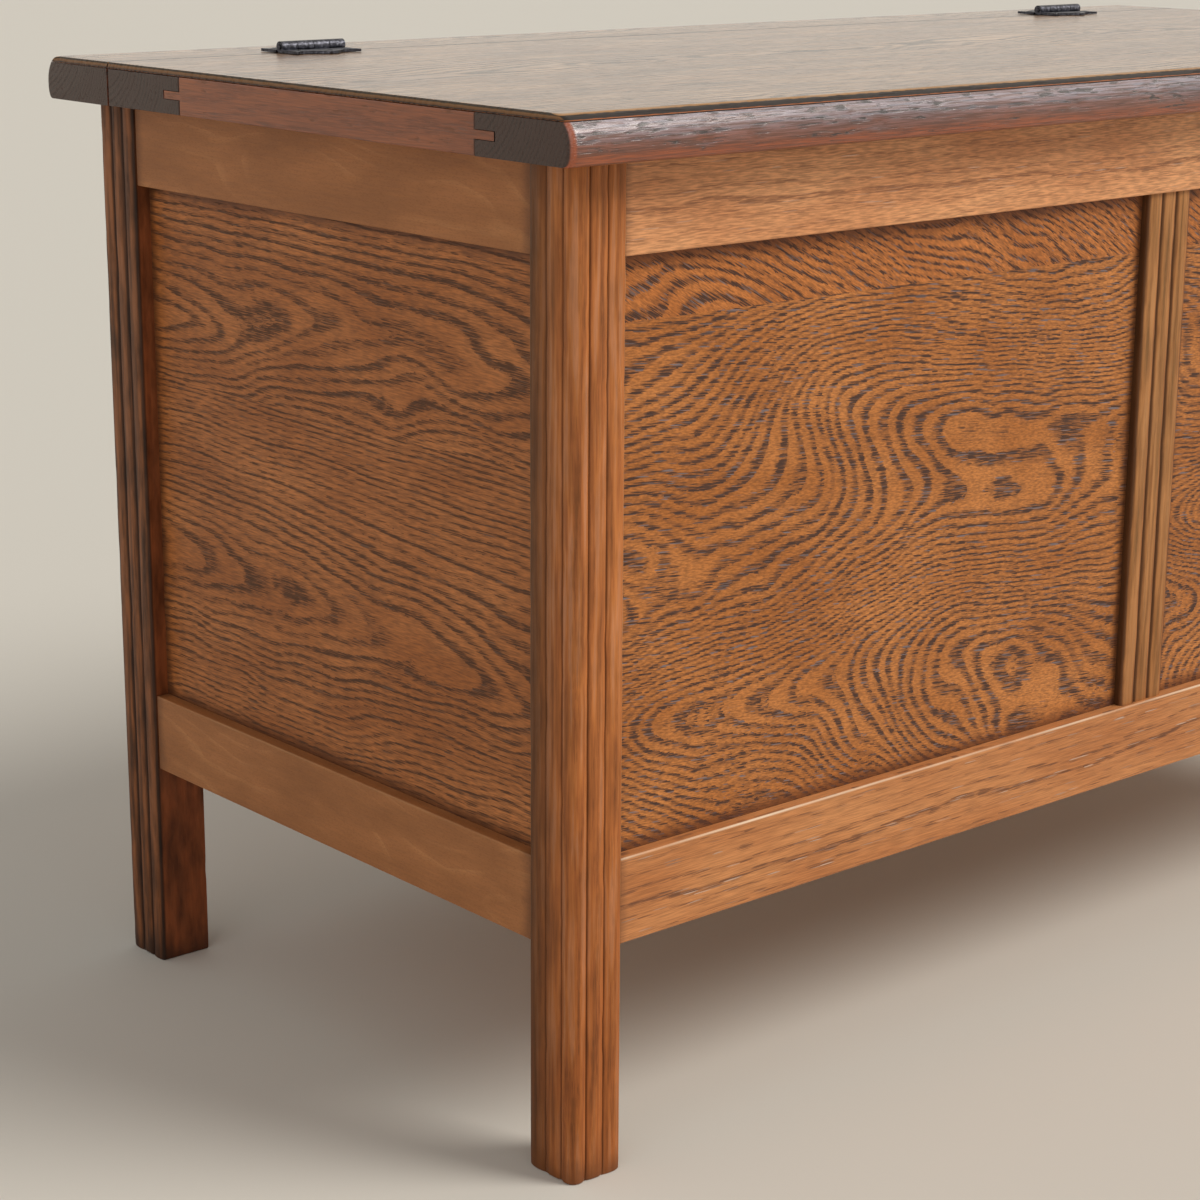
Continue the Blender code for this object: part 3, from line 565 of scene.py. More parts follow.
# %% [markdown]
# ## Front and back rails
#
# The rails are oak too, but sawn nearer the quarter, so their rings cross the face as long, almost
# straight streaks. Some of their pores carry pale glints, a painted highlight of wax that catches the
# light. Their edges are rounded over, and the upper edge of a low rail, where things knock against it,
# is worn down to pale wood; its pale line is also a painted highlight. The top rail of the front has a
# finer face, and its lighter tones are painted light that offsets the shade of the nose above it.

# %% A worn upper edge with a painted highlight
ARRIS_RUB_SIZE = (90.0, 30.0, 30.0)


def worn_and_highlit_arris(tree, colour, place, sides, tone, reach, strength):
    """Pale wood along the upper long edge of a piece, where two of its sides meet, with a painted
    highlight on it.
    """
    corner = add(
        tree, "Math", {0: sides.outputs["Y"], 1: sides.outputs["Z"]}, operation="MAXIMUM"
    )
    amount = add(
        tree, "MapRange",
        {"Value": corner, "From Min": 0.4, "From Max": reach, "To Min": strength, "To Max": 0.0},
    )
    height = add(tree, "SeparateXYZ", {"Vector": place})
    upper = add(tree, "Math", {0: height.outputs["Y"], 1: 0.0}, operation="GREATER_THAN")
    worn = add(tree, "Math", {0: amount, 1: upper}, operation="MULTIPLY")
    rub = add(tree, "TexNoise", marks(tree, place, ARRIS_RUB_SIZE, 3.0, Detail=2.0))
    often = add(tree, "MapRange", {"Value": rub, "From Min": 0.36, "From Max": 0.6, "To Min": 0.3})
    patchy = add(tree, "Math", {0: worn, 1: often}, operation="MULTIPLY")
    return add(tree, "Mix", {"Factor": patchy, "A": colour, "B": tone}, data_type="RGBA")


print("a rubbed stretch of an edge, mm:", ARRIS_RUB_SIZE[0])

# %% Rails of oak
TENON = 13.5
RAIL_TONES = {
    "light": "#cf8d58", "deep": "#b97543", "early": "#a0633a", "pore": "#54362a", "glint": "#d8c4b4",
    "grime_and_shade": "#7a4c2e",
}
# The top rail's tones are lighter: painted light to offset the shade that the nose casts on it.
TOP_RAIL_BRIGHTENED_TONES = dict(
    RAIL_TONES, light="#e4a472", deep="#cb895a", early="#bf7e52", pore="#744c36", glint="#ead8ca"
)
RAIL_GRAIN = {
    "pore": (10.0, 0.55, 0.55), "open": 0.62, "fine": 0.35, "fibre": (14.0, 0.6, 0.6), "streak": 0.22,
    "glint_from": 0.8, "flat": True,
}
TOP_RAIL_GRAIN = dict(RAIL_GRAIN, open=0.4, fine=0.55, fibre=(8.0, 0.8, 0.8), streak=0.3)
RAIL_CUT = {
    "heart": (120.0, 75.0), "ring": 6.0, "bend": 10.0, "bend_size": (300.0, 60.0, 60.0),
    "kink": 1.5, "kink_size": (90.0, 50.0, 50.0), "ripple": 1.6,
    "ripple_size": (60.0, 24.0, 24.0), "poor_year": 0.0,
}


def rail_oak(name, node, order, cut, tones, grain, wear):
    """Waxed oak for a rail, with a rubbed edge that carries a painted highlight, and grime and painted
    shade at its ends.
    """
    material, tree, shader = start(name)
    place = lay(tree, node, order)
    colour, hollows, fibre = oak_body(tree, place, cut, tones, grain)
    sides = from_sides(tree, place, node, order)
    colour = worn_and_highlit_arris(tree, colour, place, sides, "#f4dfc4", 1.3, wear)
    # Darker near the shoulders: grime, and painted shade where the rail meets the post.
    shoulder = add(tree, "Math", {0: sides.outputs["X"], 1: TENON}, operation="SUBTRACT")
    colour = grime_and_shade(tree, colour, shoulder, 6.0, tones["grime_and_shade"], 0.5, place, cut["seed"])
    polish(tree, shader, colour, hollows, fibre, WAXED)
    return material


RAILS = (
    ("front_top_rail", "XZY", TOP_RAIL_BRIGHTENED_TONES, TOP_RAIL_GRAIN, 0.2),
    ("front_bottom_rail", "XZY", RAIL_TONES, RAIL_GRAIN, 0.9),
    ("back_top_rail", "XZY", RAIL_TONES, RAIL_GRAIN, 0.2),
    ("back_bottom_rail", "XZY", RAIL_TONES, RAIL_GRAIN, 0.9),
    ("back_muntin", "ZXY", RAIL_TONES, RAIL_GRAIN, 0.2),
)
for count, (node, order, tones, grain, wear) in enumerate(RAILS):
    cut = dict(RAIL_CUT, seed=1.3 + 3.1 * count)
    dress(node, rail_oak("waxed_rail_oak_" + node, node, order, cut, tones, grain, wear))
print("oak rails dressed:", len(RAILS))

# %% [markdown]
# ## Side rails
#
# The rails of the sides are beech, stained to go with the oak. Beech has no open pores: what shows is
# a calm brown with thin pale ring lines that swirl softly, and tiny darker flecks, its rays.

# %% Stained beech
BEECH_CUT = {
    "heart": (-10.0, 26.0), "ring": 6.5, "bend": 24.0, "bend_size": (130.0, 50.0, 50.0),
    "ripple": 3.0, "ripple_size": (40.0, 30.0, 30.0),
}
BEECH_CLOUD = (70.0, 22.0, 22.0)
BEECH_RAY = (2.6, 0.7, 0.7)
BEECH_FIBRE = (18.0, 1.1, 1.1)


def stained_beech(name, node, cut):
    """Stained and waxed beech for a side rail."""
    material, tree, shader = start(name)
    place = lay(tree, node, "YZX")
    cloud = add(tree, "TexNoise", marks(tree, place, BEECH_CLOUD, cut["seed"], Detail=4.0))
    body = add(
        tree, "ValToRGB", {"Fac": cloud}, stops=[(0.32, "#9a6236"), (0.5, "#a56a3c"), (0.7, "#b27444")]
    )
    phase = add(tree, "Math", {0: rings(tree, place, cut)}, operation="FRACT")
    line = add(
        tree, "ValToRGB", {"Fac": phase},
        stops=[(0.0, 0.0), (0.7, 0.0), (0.92, 0.26), (0.96, 0.28), (1.0, 0.0)],
    )
    fade = add(tree, "MapRange", {"Value": cloud, "From Min": 0.42, "From Max": 0.6})
    shown = add(tree, "Math", {0: line, 1: fade}, operation="MULTIPLY")
    rays = add(tree, "TexVoronoi", marks(tree, place, BEECH_RAY, cut["seed"]))
    fleck = add(
        tree, "MapRange",
        {"Value": rays.outputs["Distance"], "From Min": 0.1, "From Max": 0.45, "To Min": 0.3,
         "To Max": 0.0},
    )
    fibre = add(tree, "TexNoise", marks(tree, place, BEECH_FIBRE, cut["seed"], Detail=3.0))
    streak = add(tree, "MapRange", {"Value": fibre, "To Min": 0.78, "To Max": 1.18})
    colour = coats(tree, body, [(shown, "#cf935c"), (1.0, streak, GLAZE), (fleck, "#6e4426")])
    sides = from_sides(tree, place, node, "YZX")
    colour = worn_and_highlit_arris(tree, colour, place, sides, "#b98a5c", 1.4, 0.5)
    # Darker near the shoulders: grime, and painted shade where the rail meets the post.
    shoulder = add(tree, "Math", {0: sides.outputs["X"], 1: TENON}, operation="SUBTRACT")
    colour = grime_and_shade(tree, colour, shoulder, 10.0, "#5a351e", 0.6, place, cut["seed"])
    polish(tree, shader, colour, fleck, fibre, dict(WAXED, relief=0.15))
    return material


BEECH_RAILS = ("left_top_rail", "left_bottom_rail", "right_top_rail", "right_bottom_rail")
for count, node in enumerate(BEECH_RAILS):
    dress(node, stained_beech("stained_beech_" + node, node, dict(BEECH_CUT, seed=2.2 + 2.7 * count)))
print("beech rails dressed:", len(BEECH_RAILS))

# %% [markdown]
# ## Meshes that replace a piece
#
# The pieces of the frame are exact but coarse, and shaded flat. A piece whose rounded shape shows is
# made again from the same sizes, with more points and small dents, and it stands in for the old one.
# Each new piece stays inside the old one's box, so wear only ever takes wood away. Most of them are
# rings of points joined into a skin with a face at each end, as a boat is planked over its frames.

# %% Put a new mesh in a node's place
SMOOTH_DEGREES = 32


def skin(bm, layers):
    """Join rings of points into a closed skin."""
    bm.faces.new(layers[0])
    bm.faces.new(layers[-1])
    for near, far in zip(layers, layers[1:]):
        for i in range(len(near)):
            j = (i + 1) % len(near)
            bm.faces.new((near[i], near[j], far[j], far[i]))


def settle(name, bm, node, material):
    """Make a piece of a finished mesh that stands for a node and moves with its body."""
    bmesh.ops.recalc_face_normals(bm, faces=bm.faces)
    mesh = bpy.data.meshes.new(name)
    bm.to_mesh(mesh)
    bm.free()
    mesh.shade_smooth()
    mesh.set_sharp_from_angle(angle=math.radians(SMOOTH_DEGREES))
    mesh.materials.append(material)
    piece = bpy.data.objects.new(name, mesh)
    bpy.context.scene.collection.objects.link(piece)
    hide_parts(node)
    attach(piece, nodes[node]["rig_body"])
    return piece


print("edges sharper than this stay crisp, degrees:", SMOOTH_DEGREES)

# %% [markdown]
# ## Sawn ends
#
# Where a piece is cut across, its fibres stand open and drink far more stain than its faces do. So an
# end is dark and dull, with the rings as faint arcs and the cut vessels as dots.

# %% End grain
END_DOT_SIZE = (4.0, 0.6, 0.6)
END_CLOUD_SIZE = (9.0, 9.0, 9.0)


def sawn_end(tree, place, cut, pale, dark):
    """The colour of end grain: arcs of rings with the dots of cut vessels."""
    phase = add(tree, "Math", {0: rings(tree, place, cut)}, operation="FRACT")
    arcs = add(
        tree, "ValToRGB", {"Fac": phase}, stops=[(0.0, dark), (0.3, dark), (0.6, pale), (1.0, pale)]
    )
    dots = add(tree, "TexVoronoi", marks(tree, place, END_DOT_SIZE))
    dotted = add(
        tree, "MapRange",
        {"Value": dots.outputs["Distance"], "From Min": 0.15, "From Max": 0.4, "To Min": 0.25,
         "To Max": 0.0},
    )
    cloud = add(tree, "TexNoise", marks(tree, place, END_CLOUD_SIZE, cut["seed"], Detail=4.0))
    soiled = add(tree, "MapRange", {"Value": cloud, "From Min": 0.3, "From Max": 0.6, "To Max": 0.75})
    return coats(tree, arcs, [(soiled, pale), (dotted, dark)])


print("vessels lie apart on an end, mm:", END_DOT_SIZE[1])

# %% [markdown]
# ## Reeded posts
#
# The posts and the middle upright are reeded: a plane with a scratch cutter ran rounds and valleys
# down their faces before the chest went together. The plan of a post is an outline, and the post is
# that outline lofted up through many levels. Many levels, and not one long extrusion, because each
# one then takes its own small dents along the crowns, and the foot closes in round its bottom edge.
#
# The finish follows the section too, so each point of the outline says how much of a valley it is
# and how much of it is shaded. A worn arris counts as less than no valley at all. Between two points
# those shares run evenly, so a flat face has a point close behind each corner, where they end.

# %% Outlines of the posts
REED_DEPTH = 1.5 * MM
CORNER_BEAD = 10.0 * MM
REED_STEPS = 12
CORNER_STEPS = 16
WORN = -1.0
BEHIND = 1.5 * MM


def reeds(begin, length, count):
    """Points along a face with round reeds: the way along it and the depth below it."""
    points = []
    width = length / count
    for reed in range(count):
        for step in range(REED_STEPS):
            angle = math.pi * step / REED_STEPS
            along = begin + width * reed + width * (1 - math.cos(angle)) / 2
            points.append((along, REED_DEPTH * (1 - math.sin(angle))))
    points.append((begin + length, REED_DEPTH))
    return points


def corner_bead():
    """The round bead at a post's outer corner, from its side valley to its front valley."""
    radius = REED_DEPTH + CORNER_BEAD - math.sqrt(2 * REED_DEPTH * CORNER_BEAD)
    first = math.atan2(CORNER_BEAD - radius, REED_DEPTH - radius)
    last = 2.5 * math.pi - first
    points = []
    for step in range(1, CORNER_STEPS):
        angle = first + (last - first) * step / CORNER_STEPS
        ending = max(0.0, 1 - min(step, CORNER_STEPS - step) / 2)
        spot = (radius + radius * math.cos(angle), radius + radius * math.sin(angle))
        points.append((*spot, ending, 0.0))
    return points


def post_outline(width, depth, front):
    """Plan of a post from its outer corner: two places, the share of valley and that of shade."""
    if front:
        side_run = depth - CORNER_BEAD
        side = [(deep, along, deep / REED_DEPTH, (along - CORNER_BEAD) / side_run)
                for along, deep in reeds(CORNER_BEAD, side_run, 2)]
        face = [(along, deep, deep / REED_DEPTH, 0.0)
                for along, deep in reeds(CORNER_BEAD, width - CORNER_BEAD, 2)]
        for run in (side, face):
            for end in (-1, -2):
                run[end] = (*run[end][:2], WORN, run[end][3])
        points = side[::-1] + corner_bead() + face
        points.append((width, REED_DEPTH + BEHIND, 0.0, 0.3))
    else:
        side = [(deep, along, deep / REED_DEPTH, 0.0) for along, deep in reeds(0.0, depth, 3)]
        points = side[::-1]
        points += [(REED_DEPTH + BEHIND, 0.0, 0.0, 0.0), (width, 0.0, 0.0, 0.0)]
    points += [(width, depth, 0.0, 1.0), (REED_DEPTH + BEHIND, depth, 0.0, 1.0)]
    return points


print("points round a front post:", len(post_outline(32 * MM, 34 * MM, True)))

# %% [markdown]
# A dent is where the wood was pushed in, so it may only draw a point inwards. A slow noise over the
# whole post does that: where it is high enough, it becomes a hollow, and elsewhere nothing happens.

# %% Loft an upright
LEVEL_STEP = 5.0 * MM
DENT_DEPTH = 0.35 * MM
DENT_SPACING = 14 * MM
FOOT_ROUND = 1.6 * MM
FOOT_LEVELS = (0.12, 0.35, 0.65)


def upright_mesh(outline, low, high, foot):
    """An outline lofted between two heights, dented here and there, its foot rounded."""
    centre = sum((Vector(point[:2]) for point in outline), Vector((0, 0))) / len(outline)
    levels = [low, high]
    count = round((high - low) / LEVEL_STEP)
    levels += [low + (high - low) * step / count for step in range(1, count)]
    if foot:
        levels += [low + FOOT_ROUND * share for share in FOOT_LEVELS]
    bm = bmesh.new()
    valley_layer = bm.verts.layers.float.new("valley")
    shade_layer = bm.verts.layers.float.new("shade")
    layers = []
    for height in sorted(levels):
        climb = min((height - low) / FOOT_ROUND, 1.0) if foot else 1.0
        tuck = FOOT_ROUND * (1 - math.sqrt(1 - (1 - climb) ** 2))
        ring = []
        for x, y, valley, shade in outline:
            inward = centre - Vector((x, y))
            spot = Vector((x, y, height)) / DENT_SPACING
            dent = DENT_DEPTH * max(0.0, noise.noise(spot) * 2.2 - 0.35)
            point = Vector((x, y)) + inward.normalized() * (tuck + dent)
            vertex = bm.verts.new((*point, height))
            vertex[valley_layer] = valley
            vertex[shade_layer] = shade
            ring.append(vertex)
        layers.append(ring)
    skin(bm, layers)
    return bm


print("deepest dent in a post, mm:", DENT_DEPTH / MM)

# %% [markdown]
# The finish of a reeded piece follows its section. Dark polish fills the valleys. The flanks beside
# them keep the orange of the first coat, and flanks that face right, towards the key lamp, take more
# of it: that share is painted light. The crowns are rubbed to streaks of brown and pink. The two
# numbers that each point carries reach the material as attributes of the mesh. The lower part is made
# darker towards the floor.

# %% Coats along a reeded section
STREAK_SIZE = (75.0, 3.2, 3.2)
WOBBLE_SIZE = (26.0, 3.0, 3.0)
MOTTLE_SIZE = (26.0, 7.0, 7.0)
LOWER_DARKENING_FROM = 330 * MM
LOWER_DARKENING_TO = 60 * MM


def section_coats(tree, place, facing, seed, tones):
    """The coats that follow a reed: streaks, bare flanks with painted light on the right, filled valleys,
    painted shade and worn arrises.
    """
    band = add(tree, "TexNoise", marks(tree, place, STREAK_SIZE, seed + 6.0, Detail=3.0))
    streaks = add(
        tree, "ValToRGB", {"Fac": band},
        stops=[(0.36, tones["brown"]), (0.45, tones["deep"]), (0.53, tones["light"]),
               (0.62, tones["rubbed"])],
    )
    valley = add(tree, "Attribute", attribute_name="valley").outputs["Fac"]
    shade = add(tree, "Attribute", attribute_name="shade").outputs["Fac"]
    wobble = add(tree, "TexNoise", marks(tree, place, WOBBLE_SIZE, seed, Detail=3.0))
    uneven = add(tree, "MapRange", {"Value": wobble, "To Min": -0.3, "To Max": 0.3})
    level = add(tree, "Math", {0: valley, 1: uneven}, operation="ADD")
    # Flanks that face right, towards the key lamp, take the full share of orange: painted light.
    lit_side = add(
        tree, "MapRange",
        {"Value": facing.outputs["X"], "From Min": 0.0, "From Max": 0.4, "To Min": 0.3},
    )
    flank = add(
        tree, "MapRange", {"Value": level, "From Min": 0.05, "From Max": 0.3, "To Max": 0.8}
    )
    bare = add(tree, "Math", {0: flank, 1: lit_side}, operation="MULTIPLY")
    filled = add(
        tree, "MapRange",
        {"Value": level, "From Min": tones["valley_from"], "From Max": tones["valley_from"] + 0.4,
         "To Max": tones["valley_share"]},
        interpolation_type="SMOOTHSTEP",
    )
    shaded = add(tree, "Math", {0: shade, 1: tones["shade_share"]}, operation="MULTIPLY")
    mottle = add(tree, "TexNoise", marks(tree, place, MOTTLE_SIZE, seed + 1.0, Detail=5.0))
    soaked = add(
        tree, "MapRange",
        {"Value": mottle, "From Min": 0.32, "From Max": 0.62, "To Min": 1 - tones["mottle"],
         "To Max": 1 + 0.25 * tones["mottle"]},
    )
    worn = add(
        tree, "MapRange",
        {"Value": valley, "From Min": WORN, "From Max": -0.2, "To Min": 0.85, "To Max": 0.0},
    )
    return [
        (0.6, streaks), (bare, tones["flank"]), (filled, tones["valley"]), (shaded, tones["shade"]),
        (1.0, soaked, GLAZE), (worn, tones["arris"]),
    ]


print("streaks on a crown, mm:", STREAK_SIZE)

# %% Reeded oak
POST_GRAIN = {
    "pore": (7.0, 0.55, 0.55), "open": 0.5, "fine": 0.42, "fibre": (12.0, 0.6, 0.6), "streak": 0.26,
    "glint_from": 0.7, "flat": False,
}
RUBBED_WAX = dict(WAXED, specular=0.22, coat=0.02)


def reeded_oak(name, node, cut, tones):
    """Waxed oak for an upright whose mesh says where its valleys and its shaded side are."""
    material, tree, shader = start(name)
    place = lay(tree, node, "ZXY")
    colour, hollows, fibre = oak_body(tree, place, cut, tones, POST_GRAIN)
    coordinates = add(tree, "TexCoord")
    facing = add(tree, "SeparateXYZ", {"Vector": coordinates.outputs["Normal"]})
    height = add(tree, "SeparateXYZ", {"Vector": coordinates.outputs["Object"]}).outputs["Z"]
    # The lower part is made darker towards the floor.
    low_down = add(
        tree, "MapRange", {"Value": height, "From Min": LOWER_DARKENING_FROM, "From Max": LOWER_DARKENING_TO}
    )
    colour = coats(tree, colour, [
        *section_coats(tree, place, facing, cut["seed"], tones), (low_down, tones["lower_darkening"], GLAZE),
    ])
    # Darker still in the bottom 16 millimetres of the foot.
    foot = add(tree, "Math", {0: height, 1: 1 / MM}, operation="MULTIPLY")
    colour = grime_and_shade(tree, colour, foot, 16.0, tones["valley"], 0.7, place, cut["seed"])
    topped = add(tree, "MapRange", {"Value": facing.outputs["Z"], "From Min": 0.7, "From Max": 0.9})
    end = sawn_end(tree, place, cut, tones["brown"], tones["valley"])
    colour = coats(tree, colour, [(topped, end)])
    polish(tree, shader, colour, hollows, fibre, RUBBED_WAX)
    return material


print("pores of a post, mm:", POST_GRAIN["pore"])

# %% Tones of the uprights
POST_TONES = {
    "light": "#c47a40", "deep": "#a96335", "early": "#8f532b", "pore": "#4a2b1a", "glint": "#a0704e",
    "brown": "#8a5229", "rubbed": "#cc8c64", "flank": "#bf733c", "valley": "#70401f",
    "valley_from": 0.4, "valley_share": 0.75, "arris": "#cbb088", "shade": "#4f331c",
    "shade_share": 0.9, "lower_darkening": "#eadfce", "mottle": 0.2,
}
# On the rear posts the shade tone is a mid red-brown rather than a dark one: painted light on the faces
# that look forward, which the body keeps out of the key lamp.
REAR_TONES = {
    "light": "#925a34", "deep": "#6e4428", "early": "#583620", "pore": "#2c1a10", "glint": "#5a4434",
    "brown": "#50311e", "rubbed": "#9a6442", "flank": "#7c482a", "valley": "#2c190e",
    "valley_from": 0.15, "valley_share": 0.85, "arris": "#7a5030", "shade": "#8a4a28",
    "shade_share": 0.75, "lower_darkening": "#f6efe4", "mottle": 0.55,
}
MUNTIN_TONES = {
    "light": "#bd8450", "deep": "#a06c3e", "early": "#8a5e32", "pore": "#5c412a", "glint": "#967c5c",
    "brown": "#886036", "rubbed": "#c48c5a", "flank": "#c07a42", "valley": "#4e2e17",
    "valley_from": 0.15, "valley_share": 0.85, "arris": "#c27d48", "shade": "#2c1a0d",
    "shade_share": 1.0, "lower_darkening": "#f0e4d4", "mottle": 0.15,
}
POST_CUT = {
    "heart": (60.0, 40.0), "ring": 4.2, "bend": 8.0, "bend_size": (160.0, 40.0, 40.0),
    "ripple": 1.5, "ripple_size": (40.0, 20.0, 20.0), "poor_year": 0.3,
}
print("tones on an upright:", sum(str(tone).startswith("#") for tone in POST_TONES.values()))

# %% Make the uprights
for count, corner in enumerate(("front_left", "front_right", "rear_left", "rear_right")):
    node = "post_" + corner
    low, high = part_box(node)
    in_front = corner.startswith("front")
    hand = 1 if corner.endswith("left") else -1
    outer_x = low.x if hand > 0 else high.x
    outer_y = low.y if in_front else high.y
    along = 1 if in_front else -1
    plan = post_outline(high.x - low.x, high.y - low.y, in_front)
    outline = [(outer_x + hand * x, outer_y + along * y, *shares) for x, y, *shares in plan]
    cut = dict(POST_CUT, seed=5.1 + 2.3 * count)
    tones = POST_TONES if in_front else REAR_TONES
    finish = reeded_oak("waxed_reeded_oak_" + corner, node, cut, tones)
    settle("reeded_" + node, upright_mesh(outline, low.z, high.z, True), node, finish)

low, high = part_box("front_muntin")
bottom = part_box("front_bottom_rail")[1].z
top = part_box("front_top_rail")[0].z
outline = [(x, low.y + y, y / REED_DEPTH, 0.0) for x, y in reeds(low.x, high.x - low.x, 3)]
outline += [(high.x, low.y + REED_DEPTH + BEHIND, 0.5, 0.4), (high.x, high.y, 1.0, 1.0)]
outline += [(low.x, high.y, 1.0, 1.0), (low.x, low.y + REED_DEPTH + BEHIND, 0.5, 0.4)]
finish = reeded_oak(
    "waxed_reeded_oak_muntin", "front_muntin", dict(POST_CUT, seed=17.0), MUNTIN_TONES
)
settle("reeded_front_muntin", upright_mesh(outline, bottom, top, False), "front_muntin", finish)
print("the middle upright shows this much of its height, mm:", round((top - bottom) / MM))

# %% [markdown]
# ## The nosed lid
#
# The front of the lid is a board whose edge was planed to a nose, and years of hands have dented it.
# Its section is swept along the front. The two outer corners are rounded in plan, which the sweep
# gets by drawing the nose back near the ends. The thin top sheet has the same nose and is swept the
# same way, so the two meet in one line.

# %% Section of the nose
NOSE_INSET = 12.0 * MM
NOSE_DROP = 14.5 * MM
UNDER_INSET = 3.5 * MM
UNDER_RISE = 7.0 * MM
PLAN_RADIUS = 4.0 * MM
SHEET_ROUND = 1.2 * MM
NOSE_STEPS = 14
CORNER_STATIONS = 8
STATION_STEP = 4.0 * MM
lid_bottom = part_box("lid_front_stile")[0].z
lid_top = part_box("lid_top_sheet")[1].z
half_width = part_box("lid_front_stile")[1].x


def nose_inset(height):
    """How far the nose lies behind its outermost line at a height."""
    shoulder = lid_top - NOSE_DROP
    if height >= shoulder:
        share = min((height - shoulder) / NOSE_DROP, 1.0)
        return NOSE_INSET * (1 - math.sqrt(1 - share * share))
    share = min(max((lid_bottom + UNDER_RISE - height) / UNDER_RISE, 0.0), 1.0)
    return UNDER_INSET * (1 - math.sqrt(1 - share * share))


def nose_heights(low, high):
    """Heights between two levels, close together where the nose turns quickly."""
    shoulder = lid_top - NOSE_DROP
    heights = {low, high}
    for step in range(NOSE_STEPS + 1):
        angle = math.pi / 2 * step / NOSE_STEPS
        heights.add(lid_bottom + UNDER_RISE * (1 - math.cos(angle)))
        heights.add(shoulder + NOSE_DROP * math.sin(angle))
    inside = sorted(height for height in heights if low <= height <= high)
    kept = [inside[0]]
    for height in inside[1:]:
        if height - kept[-1] > 0.1 * MM:
            kept.append(height)
    kept[-1] = high
    return kept


def stations():
    """Places along the front, close together at the rounded corners."""
    inner = half_width - PLAN_RADIUS
    count = round(2 * inner / STATION_STEP)
    places = [-inner + 2 * inner * step / count for step in range(count + 1)]
    for step in range(1, CORNER_STATIONS + 1):
        reach = inner + PLAN_RADIUS * math.sin(math.pi / 2 * step / CORNER_STATIONS)
        places += [-reach, reach]
    return sorted(places)


print("stations along the lid:", len(stations()))

# %% [markdown]
# Two kinds of unevenness go into the sweep. The planed nose waves a little everywhere, which a slow
# noise gives. Dents are small bowls pressed into it, a few millimetres across and well under one
# deep. Their places come from a seed, so that the same dents come back each time.

# %% Sweep a nosed board
WAVE_DEPTH = 0.15 * MM
WAVE_LENGTH = 40 * MM
WAVE_HEIGHT = 20 * MM
DENT_STRETCH = 2.2
DENT_COUNT = 34


def side_inset(height):
    """How far the softened side edge of the thin top sheet lies inside its widest line."""
    share = min(max((height - lid_top + SHEET_ROUND) / SHEET_ROUND, 0.0), 1.0)
    return SHEET_ROUND * (1 - math.sqrt(1 - share * share))


def pressed(x, height, dents):
    """How deep waves and dents have pressed the nose in at one place."""
    wave = noise.noise(Vector((x / WAVE_LENGTH, height / WAVE_HEIGHT, 3.0)))
    depth = WAVE_DEPTH * (0.5 + 0.5 * wave)
    for where, level, reach, deep in dents:
        away = math.hypot((x - where) / (DENT_STRETCH * reach), (height - level) / reach)
        if away < 1:
            depth += deep * (1 - away * away) ** 2
    return depth


def nosed_sweep(front, back, low, high, dents=(), groove=None):
    """A board with its nose towards the front line, swept along X between two heights."""
    way = 1 if back > front else -1
    section = [(None, low)] + [(nose_inset(h), h) for h in nose_heights(low, high)] + [(None, high)]
    if groove:
        depth, groove_low, groove_high = groove
        inner = abs(back - front) - depth
        section += [(None, groove_high), (inner, groove_high), (inner, groove_low), (None, groove_low)]
    bm = bmesh.new()
    layers = []
    for x in stations():
        beyond = max(abs(x) - (half_width - PLAN_RADIUS), 0.0)
        drawn = PLAN_RADIUS - math.sqrt(max(PLAN_RADIUS ** 2 - beyond ** 2, 0.0))
        ring = []
        for inset, height in section:
            if inset is None:
                y = back
            elif inset < NOSE_INSET + MM:
                y = front + way * (inset + drawn + pressed(x, height, dents))
            else:
                y = front + way * inset
            ring.append(bm.verts.new((x * (1 - side_inset(height) / half_width), y, height)))
        layers.append(ring)
    skin(bm, layers)
    return bm


chance = random.Random(11)
dents = []
for _ in range(DENT_COUNT):
    dents.append((
        chance.uniform(-half_width, half_width), lid_bottom + chance.uniform(2, 19) * MM,
        chance.uniform(1.5, 4.0) * MM, chance.uniform(0.25, 0.8) * MM,
    ))
print("deepest dent in the nose, mm:", round(max(deep for *_, deep in dents) / MM, 2))

# %% [markdown]
# The nose is glossier than the rest and redder, because it has been varnished more than once. A
# bluish haze lies on the ridges of what faces up, in patches: it is old wax bloom and also a painted
# sheen, the reflection of the pale sky on the upper nose. Streaks run along it, and bruises have gone
# black. Low on the nose the colour turns orange, and how far the surface leans says where. Where the
# board ends at the side, the open ends of the fibres have drunk the stain, and the rings show there as
# arcs. Those ends are dull, so they get no coat. Between the two, the rounded corner has been rubbed
# back to orange.

# %% Age on varnish
ORANGE_BY_SLOPE = [(0.0, 0.3), (0.12, 0.3), (0.22, 0.75), (0.32, 0.7), (0.45, 0.25), (0.6, 0.0)]
BLOOM_AND_SHEEN_SIZE = (60.0, 9.0, 9.0)
KNOCK_SIZE = (13.0, 2.4, 2.4)


